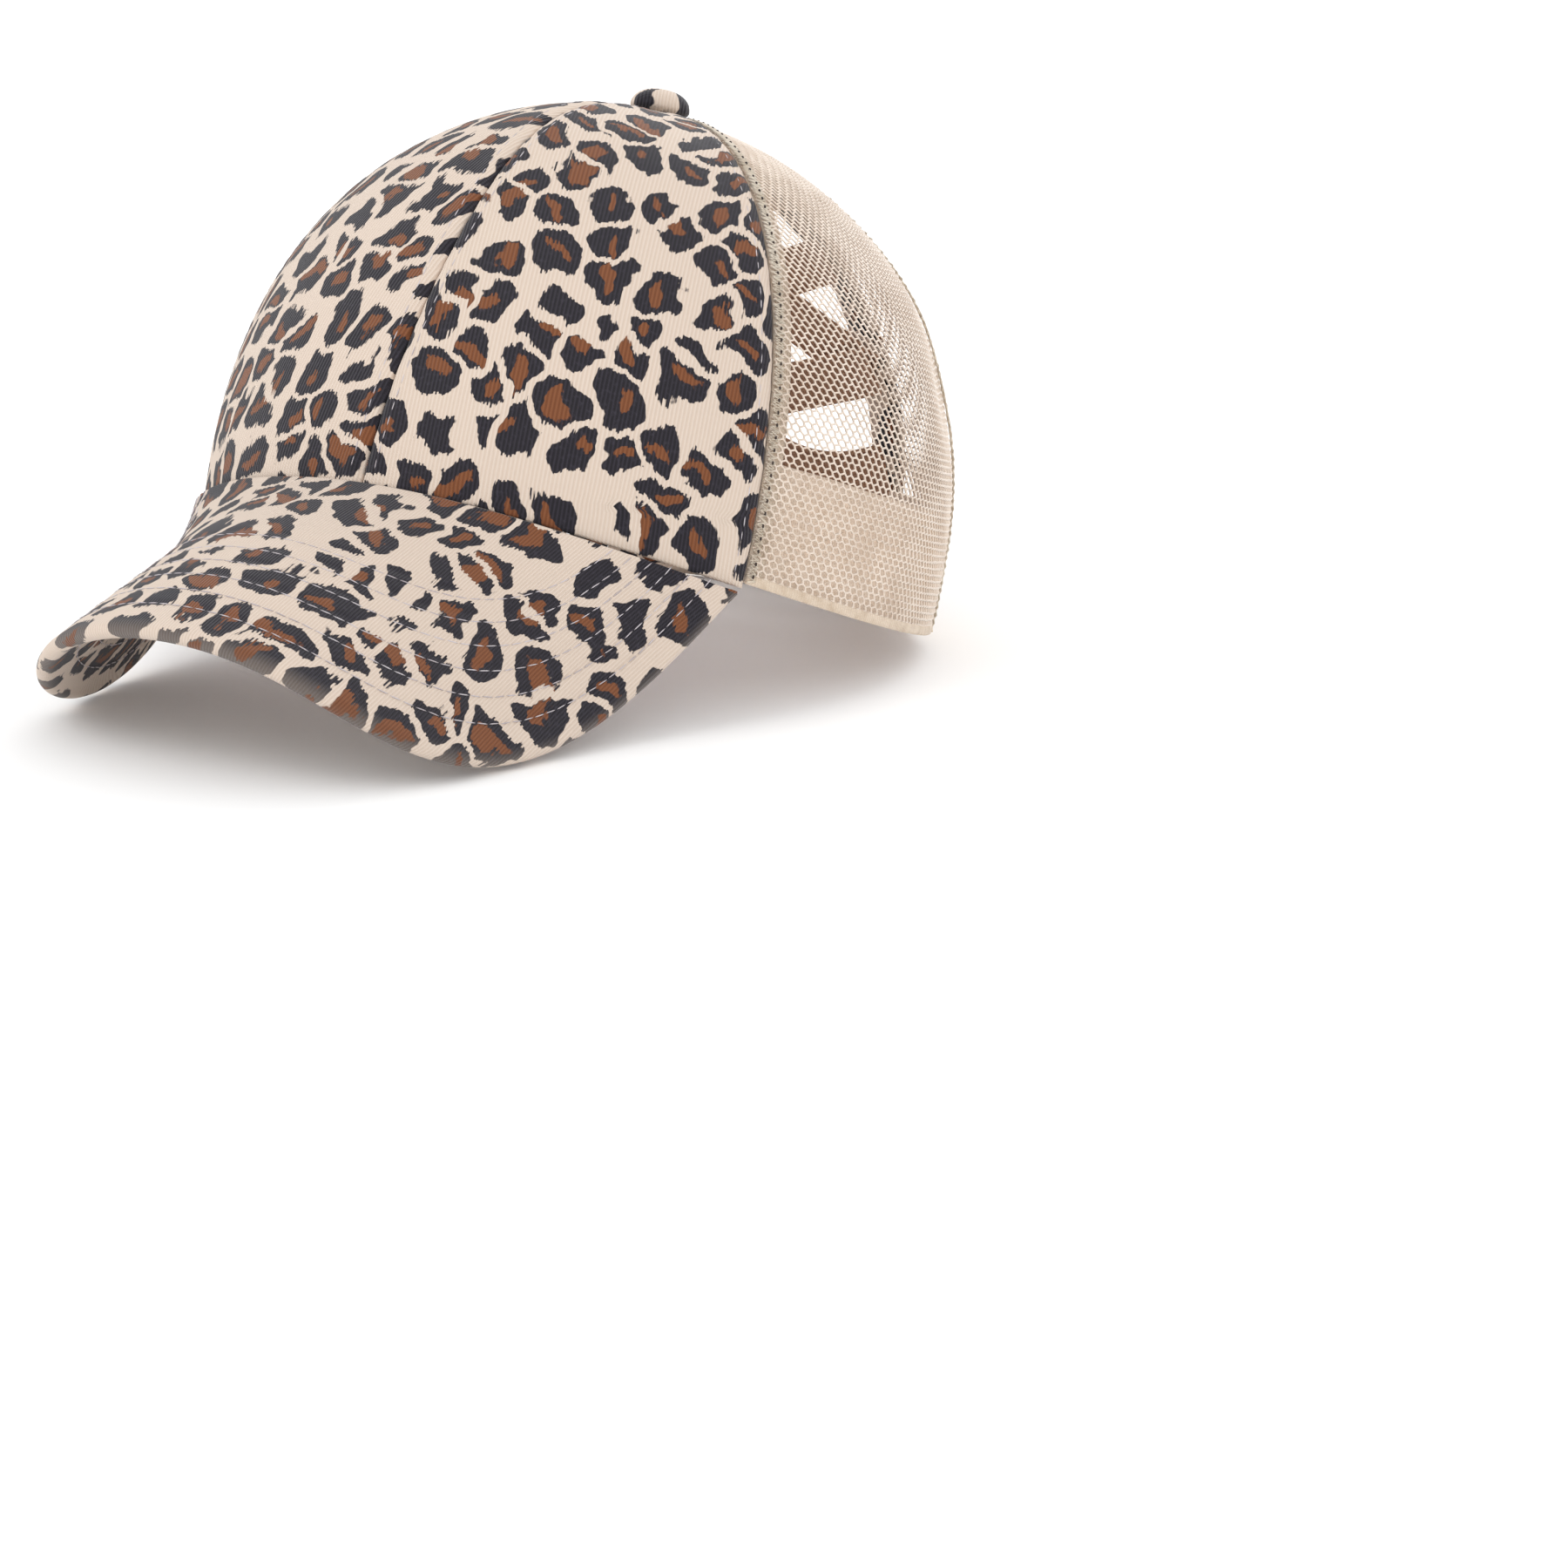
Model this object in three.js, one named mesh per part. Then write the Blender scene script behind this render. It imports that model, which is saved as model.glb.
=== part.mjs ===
// Ponytail baseball cap: printed cotton front panels and brim, net sides and back, and an arched
// opening at the back that is bound in cotton and crossed by four elastics above a closure strap.
//
// Millimetres. The cap is modelled with its rim level: +X is the wearer's left, the front faces -Y
// and +Z is up. At the end it is tilted back until the brim's tips and the rear rim stand on the
// same level, as an empty cap stands on a table, and its origin is put under its middle.
import * as THREE from 'three';

// Crown. Bearings are measured from the front, round by the left side.
const CROWN_HALF_WIDTH = 88.5;
const CROWN_FRONT_DEPTH = 93.7;
const CROWN_BACK_DEPTH = 76.9;
const CROWN_HEIGHT = 108;
const RIM_WAVE = 5.3;
const FRONT_FLATTENING = 0.119;
const BACK_FULLNESS = 0.047;
const GORE_FLATTENING = 0.012;
const FRONT_SEAM = THREE.MathUtils.degToRad(59.5);
const REAR_SEAM = THREE.MathUtils.degToRad(121);
const CROWN_TOP_SHARE = 0.978;
const REAR = Math.PI;

// Powers and angles of the crown's profile: a mean value, a part that follows the cosine of the
// bearing (front against back) and a part that follows the cosine of twice the bearing.
const PROFILE = {
  spread: { mean: 0.982, frontBack: -0.099, frontSide: -0.065 },
  undercut: { mean: 0.07, frontBack: 0.002, frontSide: -0.073 },
  rise: { mean: 0.859, frontBack: -0.054, frontSide: 0.023 },
};

// Soft dents and bulges of the net: place as bearing in degrees and share of the height, reach as
// degrees and share, and depth as a share of the crown's half width. A negative depth is a bulge.
const NET_DENTS = [
  { bearing: 146, height: 0.44, across: 9, along: 0.2, lean: -30, depth: 0.034 },
  { bearing: 131, height: 0.34, across: 8, along: 0.17, lean: -30, depth: -0.02 },
  { bearing: 112, height: 0.3, across: 9, along: 0.1, lean: 20, depth: 0.022 },
  { bearing: 88, height: 0.52, across: 12, along: 0.12, lean: 0, depth: 0.012 },
  { bearing: 222, height: 0.52, across: 9, along: 0.16, lean: 25, depth: 0.02 },
  { bearing: 262, height: 0.36, across: 10, along: 0.14, lean: -15, depth: 0.018 },
];

// Cloth layers. Depth is measured inward from the crown's outer face.
const GAP = 0.3;
const LAYER_GAP = 0.5;
const COTTON = 1.4;
const NET = 1.2;
const LINING = 1;
const TAPE = 1;
const TAPE_WIDTH = 12;
const TAPE_HALF_ANGLE = THREE.MathUtils.degToRad(30);
const SWEATBAND = 1.4;
const SWEATBAND_HEIGHT = 30;
const SWEATBAND_END = THREE.MathUtils.degToRad(146);

// Brim
const BRIM_THICKNESS = 4;
const BRIM_CORNER = THREE.MathUtils.degToRad(58.4);
const BRIM_CORNER_DROP = 3;
const BRIM_REACH = 63.1;
const BRIM_FALL = 44;
const BRIM_HALF_WIDTH = 67.6;
const BRIM_CAMBER = 2.3;
const BRIM_NOSE = 1.2;
const BRIM_NOSE_THICKNESS = 1.6;

// Control points of the brim's edge from its corner to its centre, as shares of the brim's half
// width, of its reach ahead of the crown and of its fall below the front of the rim.
const BRIM_EDGE = [
  { across: 0.987, ahead: -0.577, below: 0.607 },
  { across: 0.775, ahead: 0.182, below: 2.26 },
  { across: 1, ahead: 0.985, below: 1 },
  { across: 0, ahead: 1, below: 1 },
];

// Ponytail opening: a straight-sided arch on the crown, measured at the middle of its binding and
// up from the rim along the cloth.
const OPENING_HALF_WIDTH = 42.5;
const OPENING_STRAIGHT = 38;
const OPENING_HEIGHT = 124;
const BINDING_WIDTH = 9;
const BINDING_CLOTH = 1;
const NET_TUCK = 2.6;

// Closure straps
const CLOSURE_HEIGHT = 22.3;
const CLOSURE_CLOTH = 1.4;
const CLOSURE_END = 34;
const CLOSURE_PROUD = 0.9;
const UNDER_STRAP_END = 20;
const UNDER_STRAP_RISE = 1.2;

// Elastics: ends and two bends of each centre line, as shares of the opening's half width and of
// its height. A tuck of 1 lies under another elastic's end.
const ELASTIC_WIDTH = 14;
const ELASTIC_CLOTH = 1.1;
const ELASTIC_TUCK = 5;
const ELASTIC_ANCHOR = 0.8;
const ELASTIC_BOW = 2.5;
const ELASTICS = [
  {
    name: 'elastic_upper_outer', layer: 0, tucks: [0, 0],
    line: [[0.79, 0.529], [0.4, 0.609], [0, 0.7], [-0.376, 0.782]],
  },
  {
    name: 'elastic_upper_inner', layer: 1, tucks: [0, 1.4],
    line: [[0.553, 0.723], [0.1, 0.665], [-0.35, 0.606], [-0.812, 0.548]],
  },
  {
    name: 'elastic_lower_inner', layer: 1, tucks: [1.4, 0],
    line: [[0.847, 0.48], [0.25, 0.42], [-0.35, 0.361], [-0.941, 0.302]],
  },
  {
    name: 'elastic_lower_outer', layer: 0, tucks: [0, 0],
    line: [[0.854, 0.25], [0.3, 0.17], [-0.05, 0.35], [-0.824, 0.508]],
  },
];

// Small pieces
const BUTTON_RADIUS = 7.2;
const BUTTON_HEIGHT = 6.4;
const BUTTON_SHANK_RADIUS = 1.9;
const BUTTON_SHANK_LENGTH = 3.2;
const BUTTON_PROFILE = [
  { radius: 0.86, height: 0 },
  { radius: 1, height: 0.3 },
  { radius: 0.93, height: 0.6 },
  { radius: 0.68, height: 0.87 },
  { radius: 0.34, height: 0.98 },
  { radius: 0, height: 1 },
];
const CARE_TAB_WIDTH = 6.5;
const CARE_TAB_HEIGHT = 14;
const CARE_TAB_TOP = 28.5;
const CARE_TAB_CLOTH = 1;
const CARE_TAB_TUCK = 2.2;

// Steps of the faceted faces
const PANEL_STEPS = 11;
const HEIGHT_STEPS = 13;
const BACK_STEPS = 16;
const BACK_TOP_STEPS = 3;
const BRIM_STEPS = 34;
const BRIM_ROWS = 7;
const BAND_STEPS = 40;
const STRAP_STEPS = 14;
const ARCH_STEPS = 18;
const ARCH_STRAIGHT_STEPS = 5;
const BUTTON_SIDES = 20;
const LENGTH_SAMPLES = 48;

const { clamp, lerp } = THREE.MathUtils;

function byBearing(row, bearing) {
  return row.mean + row.frontBack * Math.cos(bearing) + row.frontSide * Math.cos(2 * bearing);
}

function rimHeight(bearing) {
  return RIM_WAVE * Math.cos(2 * bearing);
}

// Point of the smooth crown at a bearing, at a share of the way from the rim to the top.
function smoothCrown(bearing, share) {
  const forward = Math.cos(bearing);
  const spread = byBearing(PROFILE.spread, bearing);
  const undercut = Math.max(byBearing(PROFILE.undercut, bearing), 0);
  const rise = byBearing(PROFILE.rise, bearing);
  const angle = -undercut + (Math.PI / 2 + undercut) * share;
  const swell = Math.sin(2 * clamp(angle, 0, Math.PI / 2));
  const fullness = forward > 0 ? -FRONT_FLATTENING * forward ** 2 : BACK_FULLNESS * forward ** 2;
  const gore = 1 - GORE_FLATTENING * Math.sin(3 * bearing) ** 2 * Math.sin(Math.PI * share);
  const radius = (Math.abs(Math.cos(angle)) / Math.cos(undercut)) ** spread * (1 + fullness * swell) * gore;
  const climb = Math.sign(Math.sin(angle)) * Math.abs(Math.sin(angle)) ** rise;
  const start = Math.sin(undercut) ** rise;
  const height = (climb + start) / (1 + start);
  const depth = forward > 0 ? CROWN_FRONT_DEPTH : CROWN_BACK_DEPTH;
  const rim = rimHeight(bearing);
  return new THREE.Vector3(
    CROWN_HALF_WIDTH * Math.sin(bearing) * radius,
    -depth * forward * radius,
    rim + (CROWN_HEIGHT - rim) * height,
  );
}

// Directions on the crown, from points a small step apart that stay short of the very top.
function crownFrame(bearing, share) {
  const step = 0.002;
  const highest = (1 + CROWN_TOP_SHARE) / 2;
  const low = clamp(share - step, 0, highest - 2 * step);
  const round = smoothCrown(bearing + step, share).sub(smoothCrown(bearing - step, share));
  const up = smoothCrown(bearing, low + 2 * step).sub(smoothCrown(bearing, low));
  return {
    roundPerRadian: round.length() / (2 * step),
    up: up.clone().normalize(),
    out: round.cross(up).normalize(),
  };
}

function dentDepth(bearing, share) {
  const degrees = THREE.MathUtils.radToDeg(bearing);
  return NET_DENTS.reduce((total, dent) => {
    const turned = THREE.MathUtils.euclideanModulo(degrees - dent.bearing + 180, 360) - 180;
    const across = (turned - dent.lean * (share - dent.height)) / dent.across;
    const along = (share - dent.height) / dent.along;
    return total + CROWN_HALF_WIDTH * dent.depth * Math.exp(-(across ** 2) - along ** 2);
  }, 0);
}

// Point at a depth inside the crown's outer face.
function crownPoint(bearing, share, depth) {
  const { out } = crownFrame(bearing, share);
  return smoothCrown(bearing, share).addScaledVector(out, -depth - dentDepth(bearing, share));
}

// Share of the height at which a length of cloth above the rim ends, at one bearing.
const lengthTables = new Map();

function lengthTable(bearing) {
  const key = Math.round(bearing * 1e4);
  if (!lengthTables.has(key)) {
    const table = [0];
    let last = smoothCrown(bearing, 0);
    for (let i = 1; i <= LENGTH_SAMPLES; i += 1) {
      const next = smoothCrown(bearing, i / LENGTH_SAMPLES);
      table.push(table[i - 1] + next.distanceTo(last));
      last = next;
    }
    lengthTables.set(key, table);
  }
  return lengthTables.get(key);
}

function shareAtLength(bearing, length) {
  const table = lengthTable(bearing);
  let i = 1;
  while (i < LENGTH_SAMPLES && table[i] < length) {
    i += 1;
  }
  return (i - 1 + (length - table[i - 1]) / (table[i] - table[i - 1])) / LENGTH_SAMPLES;
}

// Length of cloth from the rim to the panels' tops.
function clothLength(bearing) {
  const table = lengthTable(bearing);
  const sample = CROWN_TOP_SHARE * LENGTH_SAMPLES;
  const low = Math.floor(sample);
  return lerp(table[low], table[low + 1], sample - low);
}

function shareAlong(bearing, lengthShare) {
  return shareAtLength(bearing, lengthShare * clothLength(bearing));
}

// Point on the back of the crown by its sideways place x and its length of cloth above the rim.
function rearPlace(x, length) {
  let bearing = REAR - Math.asin(clamp(x / CROWN_HALF_WIDTH, -1, 1));
  let share = 0;
  for (let i = 0; i < 12; i += 1) {
    share = shareAtLength(bearing, length);
    const reach = smoothCrown(bearing, share).x / Math.sin(bearing);
    bearing = REAR - Math.asin(clamp(x / (Number.isFinite(reach) ? reach : CROWN_HALF_WIDTH), -1, 1));
  }
  return { bearing, share };
}

function rearPoint(x, length, depth) {
  const { bearing, share } = rearPlace(Math.abs(x) < 1e-3 ? 1e-3 : x, length);
  return crownPoint(bearing, share, depth);
}

// Closed plate between two curved faces. place(u, v, side) gives a point, side 0 or 1.
function plate(across, along, place) {
  const positions = [];
  const index = [];
  const row = across + 1;
  const layer = row * (along + 1);
  for (let side = 0; side < 2; side += 1) {
    for (let j = 0; j <= along; j += 1) {
      for (let i = 0; i <= across; i += 1) {
        positions.push(...place(i / across, j / along, side).toArray());
      }
    }
  }
  const at = (i, j, side) => side * layer + j * row + i;
  const quad = (a, b, c, d) => index.push(a, b, c, a, c, d);
  for (let j = 0; j < along; j += 1) {
    for (let i = 0; i < across; i += 1) {
      quad(at(i, j, 0), at(i + 1, j, 0), at(i + 1, j + 1, 0), at(i, j + 1, 0));
      quad(at(i, j, 1), at(i, j + 1, 1), at(i + 1, j + 1, 1), at(i + 1, j, 1));
    }
  }
  for (let i = 0; i < across; i += 1) {
    quad(at(i, 0, 0), at(i, 0, 1), at(i + 1, 0, 1), at(i + 1, 0, 0));
    quad(at(i + 1, along, 0), at(i + 1, along, 1), at(i, along, 1), at(i, along, 0));
  }
  for (let j = 0; j < along; j += 1) {
    quad(at(0, j + 1, 0), at(0, j + 1, 1), at(0, j, 1), at(0, j, 0));
    quad(at(across, j, 0), at(across, j, 1), at(across, j + 1, 1), at(across, j + 1, 0));
  }
  return closedGeometry(positions, index);
}

// Closed bar through rings of points, with flat ends cut to the outline given.
function bar(rings, outline) {
  const positions = rings.flat().flatMap((point) => point.toArray());
  const sides = outline.length;
  const index = [];
  for (let j = 0; j + 1 < rings.length; j += 1) {
    for (let i = 0; i < sides; i += 1) {
      const next = (i + 1) % sides;
      index.push(j * sides + i, j * sides + next, (j + 1) * sides + next);
      index.push(j * sides + i, (j + 1) * sides + next, (j + 1) * sides + i);
    }
  }
  const last = (rings.length - 1) * sides;
  for (const [a, b, c] of THREE.ShapeUtils.triangulateShape(outline, [])) {
    index.push(a, c, b, last + a, last + b, last + c);
  }
  return closedGeometry(positions, index);
}

// Geometry whose faces are turned to point out of the solid.
function closedGeometry(positions, index) {
  const corner = (i) => new THREE.Vector3().fromArray(positions, 3 * index[i]);
  let volume = 0;
  for (let i = 0; i < index.length; i += 3) {
    volume += corner(i).dot(corner(i + 1).cross(corner(i + 2)));
  }
  if (volume < 0) {
    index.reverse();
  }
  const geometry = new THREE.BufferGeometry();
  geometry.setAttribute('position', new THREE.Float32BufferAttribute(positions, 3));
  geometry.setIndex(index);
  geometry.computeVertexNormals();
  return geometry;
}

const cap = new THREE.Group();

function addPiece(name, geometry, colour, roughness) {
  const material = new THREE.MeshStandardMaterial({ color: colour, roughness, metalness: 0 });
  const mesh = new THREE.Mesh(geometry, material);
  mesh.name = name;
  cap.add(mesh);
  return mesh;
}

const PRINTED = 0xc9b49c;
const NET_COLOUR = 0xd8c8b4;
const LILAC = 0x8b7790;
const TAUPE = 0x9d8874;
const TAN = 0xc49470;
const PEACH = 0xdcbfa2;

// One gore of cloth from one seam to the next, with half the seam gap left at each side.
function gore(start, end, outer, inner) {
  return plate(PANEL_STEPS, HEIGHT_STEPS, (u, v, side) => {
    const inset = (seam) => GAP / 2 / crownFrame(seam, shareAlong(seam, v)).roundPerRadian;
    const bearing = lerp(start + inset(start), end - inset(end), u);
    return crownPoint(bearing, shareAlong(bearing, v), side === 0 ? outer : inner);
  });
}

const liningOuter = COTTON + GAP;
const liningInner = liningOuter + LINING;
const tapeOnLining = liningInner + LAYER_GAP;
const tapeOnNet = NET + LAYER_GAP;
const sweatbandInner = tapeOnLining + SWEATBAND;

function addMirrored(name, build, colour, roughness) {
  addPiece(`${name}_left`, build(1), colour, roughness);
  addPiece(`${name}_right`, build(-1), colour, roughness);
}

const between = (start, end, hand) => (hand > 0 ? [start, end] : [-end, -start]);

addMirrored('front_panel', (hand) => gore(...between(0, FRONT_SEAM, hand), 0, COTTON), PRINTED, 0.9);
addMirrored(
  'front_lining',
  (hand) => gore(...between(0, FRONT_SEAM, hand), liningOuter, liningInner),
  LILAC,
  0.9,
);
addMirrored('side_mesh', (hand) => gore(...between(FRONT_SEAM, REAR_SEAM, hand), 0, NET), NET_COLOUR, 0.7);

// The opening's arch: offset is measured across the binding, positive towards the net, and share
// runs from the rim (0) over the spring of the arch (1) to its top (2).
const archRadius = ((OPENING_HEIGHT - OPENING_STRAIGHT) ** 2 + OPENING_HALF_WIDTH ** 2)
  / (2 * OPENING_HALF_WIDTH);

function archPlace(offset, share) {
  if (share <= 1) {
    return { x: OPENING_HALF_WIDTH + offset, length: OPENING_STRAIGHT * share };
  }
  const centre = OPENING_HALF_WIDTH - archRadius;
  const radius = archRadius + offset;
  const top = Math.acos((GAP / 2 - centre) / radius);
  const turn = (share - 1) * top;
  return {
    x: centre + radius * Math.cos(turn),
    length: OPENING_STRAIGHT + radius * Math.sin(turn),
  };
}

// Half width of the arch at a length of cloth above the rim.
function archHalfWidth(offset, length) {
  if (length <= OPENING_STRAIGHT) {
    return OPENING_HALF_WIDTH + offset;
  }
  const radius = archRadius + offset;
  const rise = Math.min(length - OPENING_STRAIGHT, radius);
  return Math.max(OPENING_HALF_WIDTH - archRadius + Math.sqrt(radius ** 2 - rise ** 2), GAP / 2);
}

// Back net: from the rear seam to the binding, and above the arch to the centre of the back.
function backNet(hand) {
  const edge = -NET_TUCK;
  const { length: archTop } = archPlace(edge, 2);
  const rows = BACK_STEPS + BACK_TOP_STEPS;
  return plate(PANEL_STEPS, rows, (u, v, side) => {
    const step = Math.round(v * rows);
    if (step <= BACK_STEPS) {
      const length = archTop * (step / BACK_STEPS);
      const seamPlace = crownFrame(REAR_SEAM, shareAtLength(REAR_SEAM, length));
      const seam = REAR_SEAM + GAP / 2 / seamPlace.roundPerRadian;
      const inner = rearPlace(archHalfWidth(edge, length), length).bearing;
      const bearing = lerp(seam, inner, u);
      return crownPoint(hand * bearing, shareAtLength(bearing, length), side === 0 ? 0 : NET);
    }
    const above = (step - BACK_STEPS) / BACK_TOP_STEPS;
    const shareAt = (bearing) => (
      lerp(shareAtLength(bearing, archTop), CROWN_TOP_SHARE, above)
    );
    const inset = (seam) => GAP / 2 / crownFrame(seam, shareAt(seam)).roundPerRadian;
    const bearing = lerp(REAR_SEAM + inset(REAR_SEAM), REAR - inset(REAR), u);
    return crownPoint(hand * bearing, shareAt(bearing), side === 0 ? 0 : NET);
  });
}

addMirrored('back_mesh', backNet, NET_COLOUR, 0.7);

// Tape on a seam, narrowing at the top where the tapes meet.
function seamTape(bearing, outer, startLength) {
  return plate(2, HEIGHT_STEPS, (u, v, side) => {
    const share = shareAtLength(bearing, lerp(startLength, clothLength(bearing), v));
    const { roundPerRadian } = crownFrame(bearing, share);
    const half = Math.min(TAPE_WIDTH / 2 / roundPerRadian, TAPE_HALF_ANGLE - GAP / roundPerRadian);
    return crownPoint(bearing + half * (2 * u - 1), share, side === 0 ? outer : outer + TAPE);
  });
}

const aboveSweatband = SWEATBAND_HEIGHT + GAP;
addPiece('centre_tape', seamTape(0, tapeOnLining, aboveSweatband), TAUPE, 0.9);
addMirrored('side_tape', (hand) => seamTape(hand * FRONT_SEAM, tapeOnLining, aboveSweatband), NET_COLOUR, 0.9);
addMirrored('rear_tape', (hand) => seamTape(hand * REAR_SEAM, tapeOnNet, GAP), NET_COLOUR, 0.9);

function sweatband() {
  return plate(BAND_STEPS, 3, (u, v, side) => {
    const bearing = lerp(-SWEATBAND_END, SWEATBAND_END, u);
    const share = shareAtLength(bearing, lerp(GAP, SWEATBAND_HEIGHT, v));
    return crownPoint(bearing, share, side === 0 ? tapeOnLining : sweatbandInner);
  });
}

addPiece('sweatband', sweatband(), TAUPE, 0.95);

// Brim: a cambered plate from under the rim to its edge, which is a curve through the corner and
// the control points above.
function brimEdge(share) {
  const corner = crownPoint(BRIM_CORNER, 0, 0);
  corner.z -= BRIM_CORNER_DROP;
  const front = crownPoint(0, 0, 0);
  const points = BRIM_EDGE.map((row) => new THREE.Vector3(
    row.across * BRIM_HALF_WIDTH,
    front.y - row.ahead * BRIM_REACH,
    front.z - row.below * BRIM_FALL,
  ));
  points.unshift(corner);
  const along = 1 - Math.abs(share);
  let level = points;
  while (level.length > 1) {
    level = level.slice(1).map((point, i) => level[i].clone().lerp(point, along));
  }
  const edge = level[0];
  edge.x *= share < 0 ? -1 : 1;
  return edge;
}

// Middle face of the brim. Row -1 is the tuck under the rim, 0 the rim and 1 the edge.
function brimMiddle(share, row) {
  const bearing = share * BRIM_CORNER;
  const below = crownFrame(bearing, 0).up.multiplyScalar(-(GAP + BRIM_THICKNESS / 2));
  if (row < 0) {
    return crownPoint(bearing, 0, -row * sweatbandInner).add(below);
  }
  const root = crownPoint(bearing, 0, 0).add(below);
  const edge = brimEdge(share);
  const width = root.distanceTo(edge);
  const point = root.lerp(edge, row);
  point.z += BRIM_CAMBER * Math.sin(Math.PI * row) * (width / Math.hypot(BRIM_REACH, BRIM_FALL));
  return point;
}

function brimNormal(share, row) {
  const step = 0.02;
  const side = clamp(share, step - 1, 1 - step);
  const across = brimMiddle(side + step, row).sub(brimMiddle(side - step, row));
  const low = clamp(row, -1, 1 - step);
  const along = brimMiddle(side, low + step).sub(brimMiddle(side, low));
  return across.cross(along).normalize();
}

function brim() {
  const rows = BRIM_ROWS + 2;
  return plate(BRIM_STEPS, rows, (u, v, side) => {
    const share = 2 * u - 1;
    const step = Math.round(v * rows);
    const hand = side === 0 ? 1 : -1;
    const row = clamp((step - 1) / BRIM_ROWS, -1, 1);
    if (step === 0) {
      return brimMiddle(share, -1).addScaledVector(brimNormal(share, -1), hand * -BRIM_THICKNESS / 2);
    }
    const normal = brimNormal(share, row);
    const point = brimMiddle(share, row);
    if (step < rows) {
      return point.addScaledVector(normal, hand * -BRIM_THICKNESS / 2);
    }
    const outward = brimMiddle(share, 1).sub(brimMiddle(share, 1 - 1 / BRIM_ROWS)).normalize();
    return point.addScaledVector(outward, BRIM_NOSE)
      .addScaledVector(normal, hand * -BRIM_NOSE_THICKNESS / 2);
  });
}

addPiece('brim', brim(), PRINTED, 0.9);

// Binding: cloth folded over the net's edge, with a slot for the net between its two legs.
const bindingInner = NET + LAYER_GAP + BINDING_CLOTH;

function bindingOutline() {
  const half = BINDING_WIDTH / 2;
  const web = -half + BINDING_CLOTH;
  return [
    new THREE.Vector2(-half, -LAYER_GAP - BINDING_CLOTH),
    new THREE.Vector2(half, -LAYER_GAP - BINDING_CLOTH),
    new THREE.Vector2(half, -LAYER_GAP),
    new THREE.Vector2(web, -LAYER_GAP),
    new THREE.Vector2(web, NET + LAYER_GAP),
    new THREE.Vector2(half, NET + LAYER_GAP),
    new THREE.Vector2(half, bindingInner),
    new THREE.Vector2(-half, bindingInner),
  ];
}

function binding(hand) {
  const outline = bindingOutline();
  const shares = [];
  for (let i = 0; i < ARCH_STRAIGHT_STEPS; i += 1) {
    shares.push(i / ARCH_STRAIGHT_STEPS);
  }
  for (let i = 0; i <= ARCH_STEPS; i += 1) {
    shares.push(1 + i / ARCH_STEPS);
  }
  const rings = shares.map((share) => outline.map((corner) => {
    const place = archPlace(corner.x, share);
    return rearPoint(hand * place.x, place.length, corner.y);
  }));
  return bar(rings, outline);
}

addMirrored('binding', binding, PRINTED, 0.9);

// Closure: the printed strap comes from the left binding and lies on the strap from the right one.
const openingEdge = OPENING_HALF_WIDTH - BINDING_WIDTH / 2;
const underStrapOuter = CLOSURE_CLOTH + LAYER_GAP - CLOSURE_PROUD;

function rearStrap(start, end, low, high, outer, cloth) {
  return plate(STRAP_STEPS, 2, (u, v, side) => (
    rearPoint(lerp(start, end, u), lerp(low, high, v), side === 0 ? outer : outer + cloth)
  ));
}

addPiece(
  'closure_strap',
  rearStrap(openingEdge - GAP, -CLOSURE_END, GAP, CLOSURE_HEIGHT, -CLOSURE_PROUD, CLOSURE_CLOTH),
  PRINTED,
  0.9,
);
addPiece(
  'closure_under_strap',
  rearStrap(
    UNDER_STRAP_END,
    -openingEdge + GAP,
    GAP + UNDER_STRAP_RISE / 2,
    CLOSURE_HEIGHT + UNDER_STRAP_RISE,
    underStrapOuter,
    CLOSURE_CLOTH,
  ),
  PEACH,
  0.95,
);

// Elastics run straight across the opening behind the binding, so they lie inside the crown's
// curve: a ruled face between the places where they are sewn behind the two bindings.
function acrossOpening(x, length, depth) {
  const edge = archHalfWidth(ELASTIC_ANCHOR, length);
  if (Math.abs(x) >= edge) {
    return rearPoint(x, length, depth);
  }
  const left = rearPoint(edge, length, depth);
  const right = rearPoint(-edge, length, depth);
  return left.lerp(right, (edge - x) / (2 * edge));
}

function elasticLine(line) {
  const points = line.map(([x, y]) => new THREE.Vector2(x * OPENING_HALF_WIDTH, y * OPENING_HEIGHT));
  const tucked = (end, bend) => end.clone().sub(bend).setLength(ELASTIC_TUCK).add(end);
  const first = tucked(points[0], points[1]);
  const last = tucked(points[3], points[2]);
  return new THREE.CubicBezierCurve(first, points[1], points[2], last);
}

function elastic({ line, layer, tucks }) {
  const curve = elasticLine(line);
  const base = bindingInner + LAYER_GAP;
  const layerStep = ELASTIC_CLOTH + LAYER_GAP;
  return plate(STRAP_STEPS, 1, (u, v, side) => {
    const place = curve.getPoint(u);
    const tangent = curve.getTangent(u);
    const aside = (v - 0.5) * ELASTIC_WIDTH;
    const x = place.x - tangent.y * aside;
    const length = place.y + tangent.x * aside;
    const tuck = lerp(tucks[0], tucks[1], u) * layerStep;
    const bow = layer * ELASTIC_BOW * Math.sin(Math.PI * u);
    return acrossOpening(x, length, base + tuck + bow + side * ELASTIC_CLOTH);
  });
}

for (const row of ELASTICS) {
  addPiece(row.name, elastic(row), TAN, 0.8);
}

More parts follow.
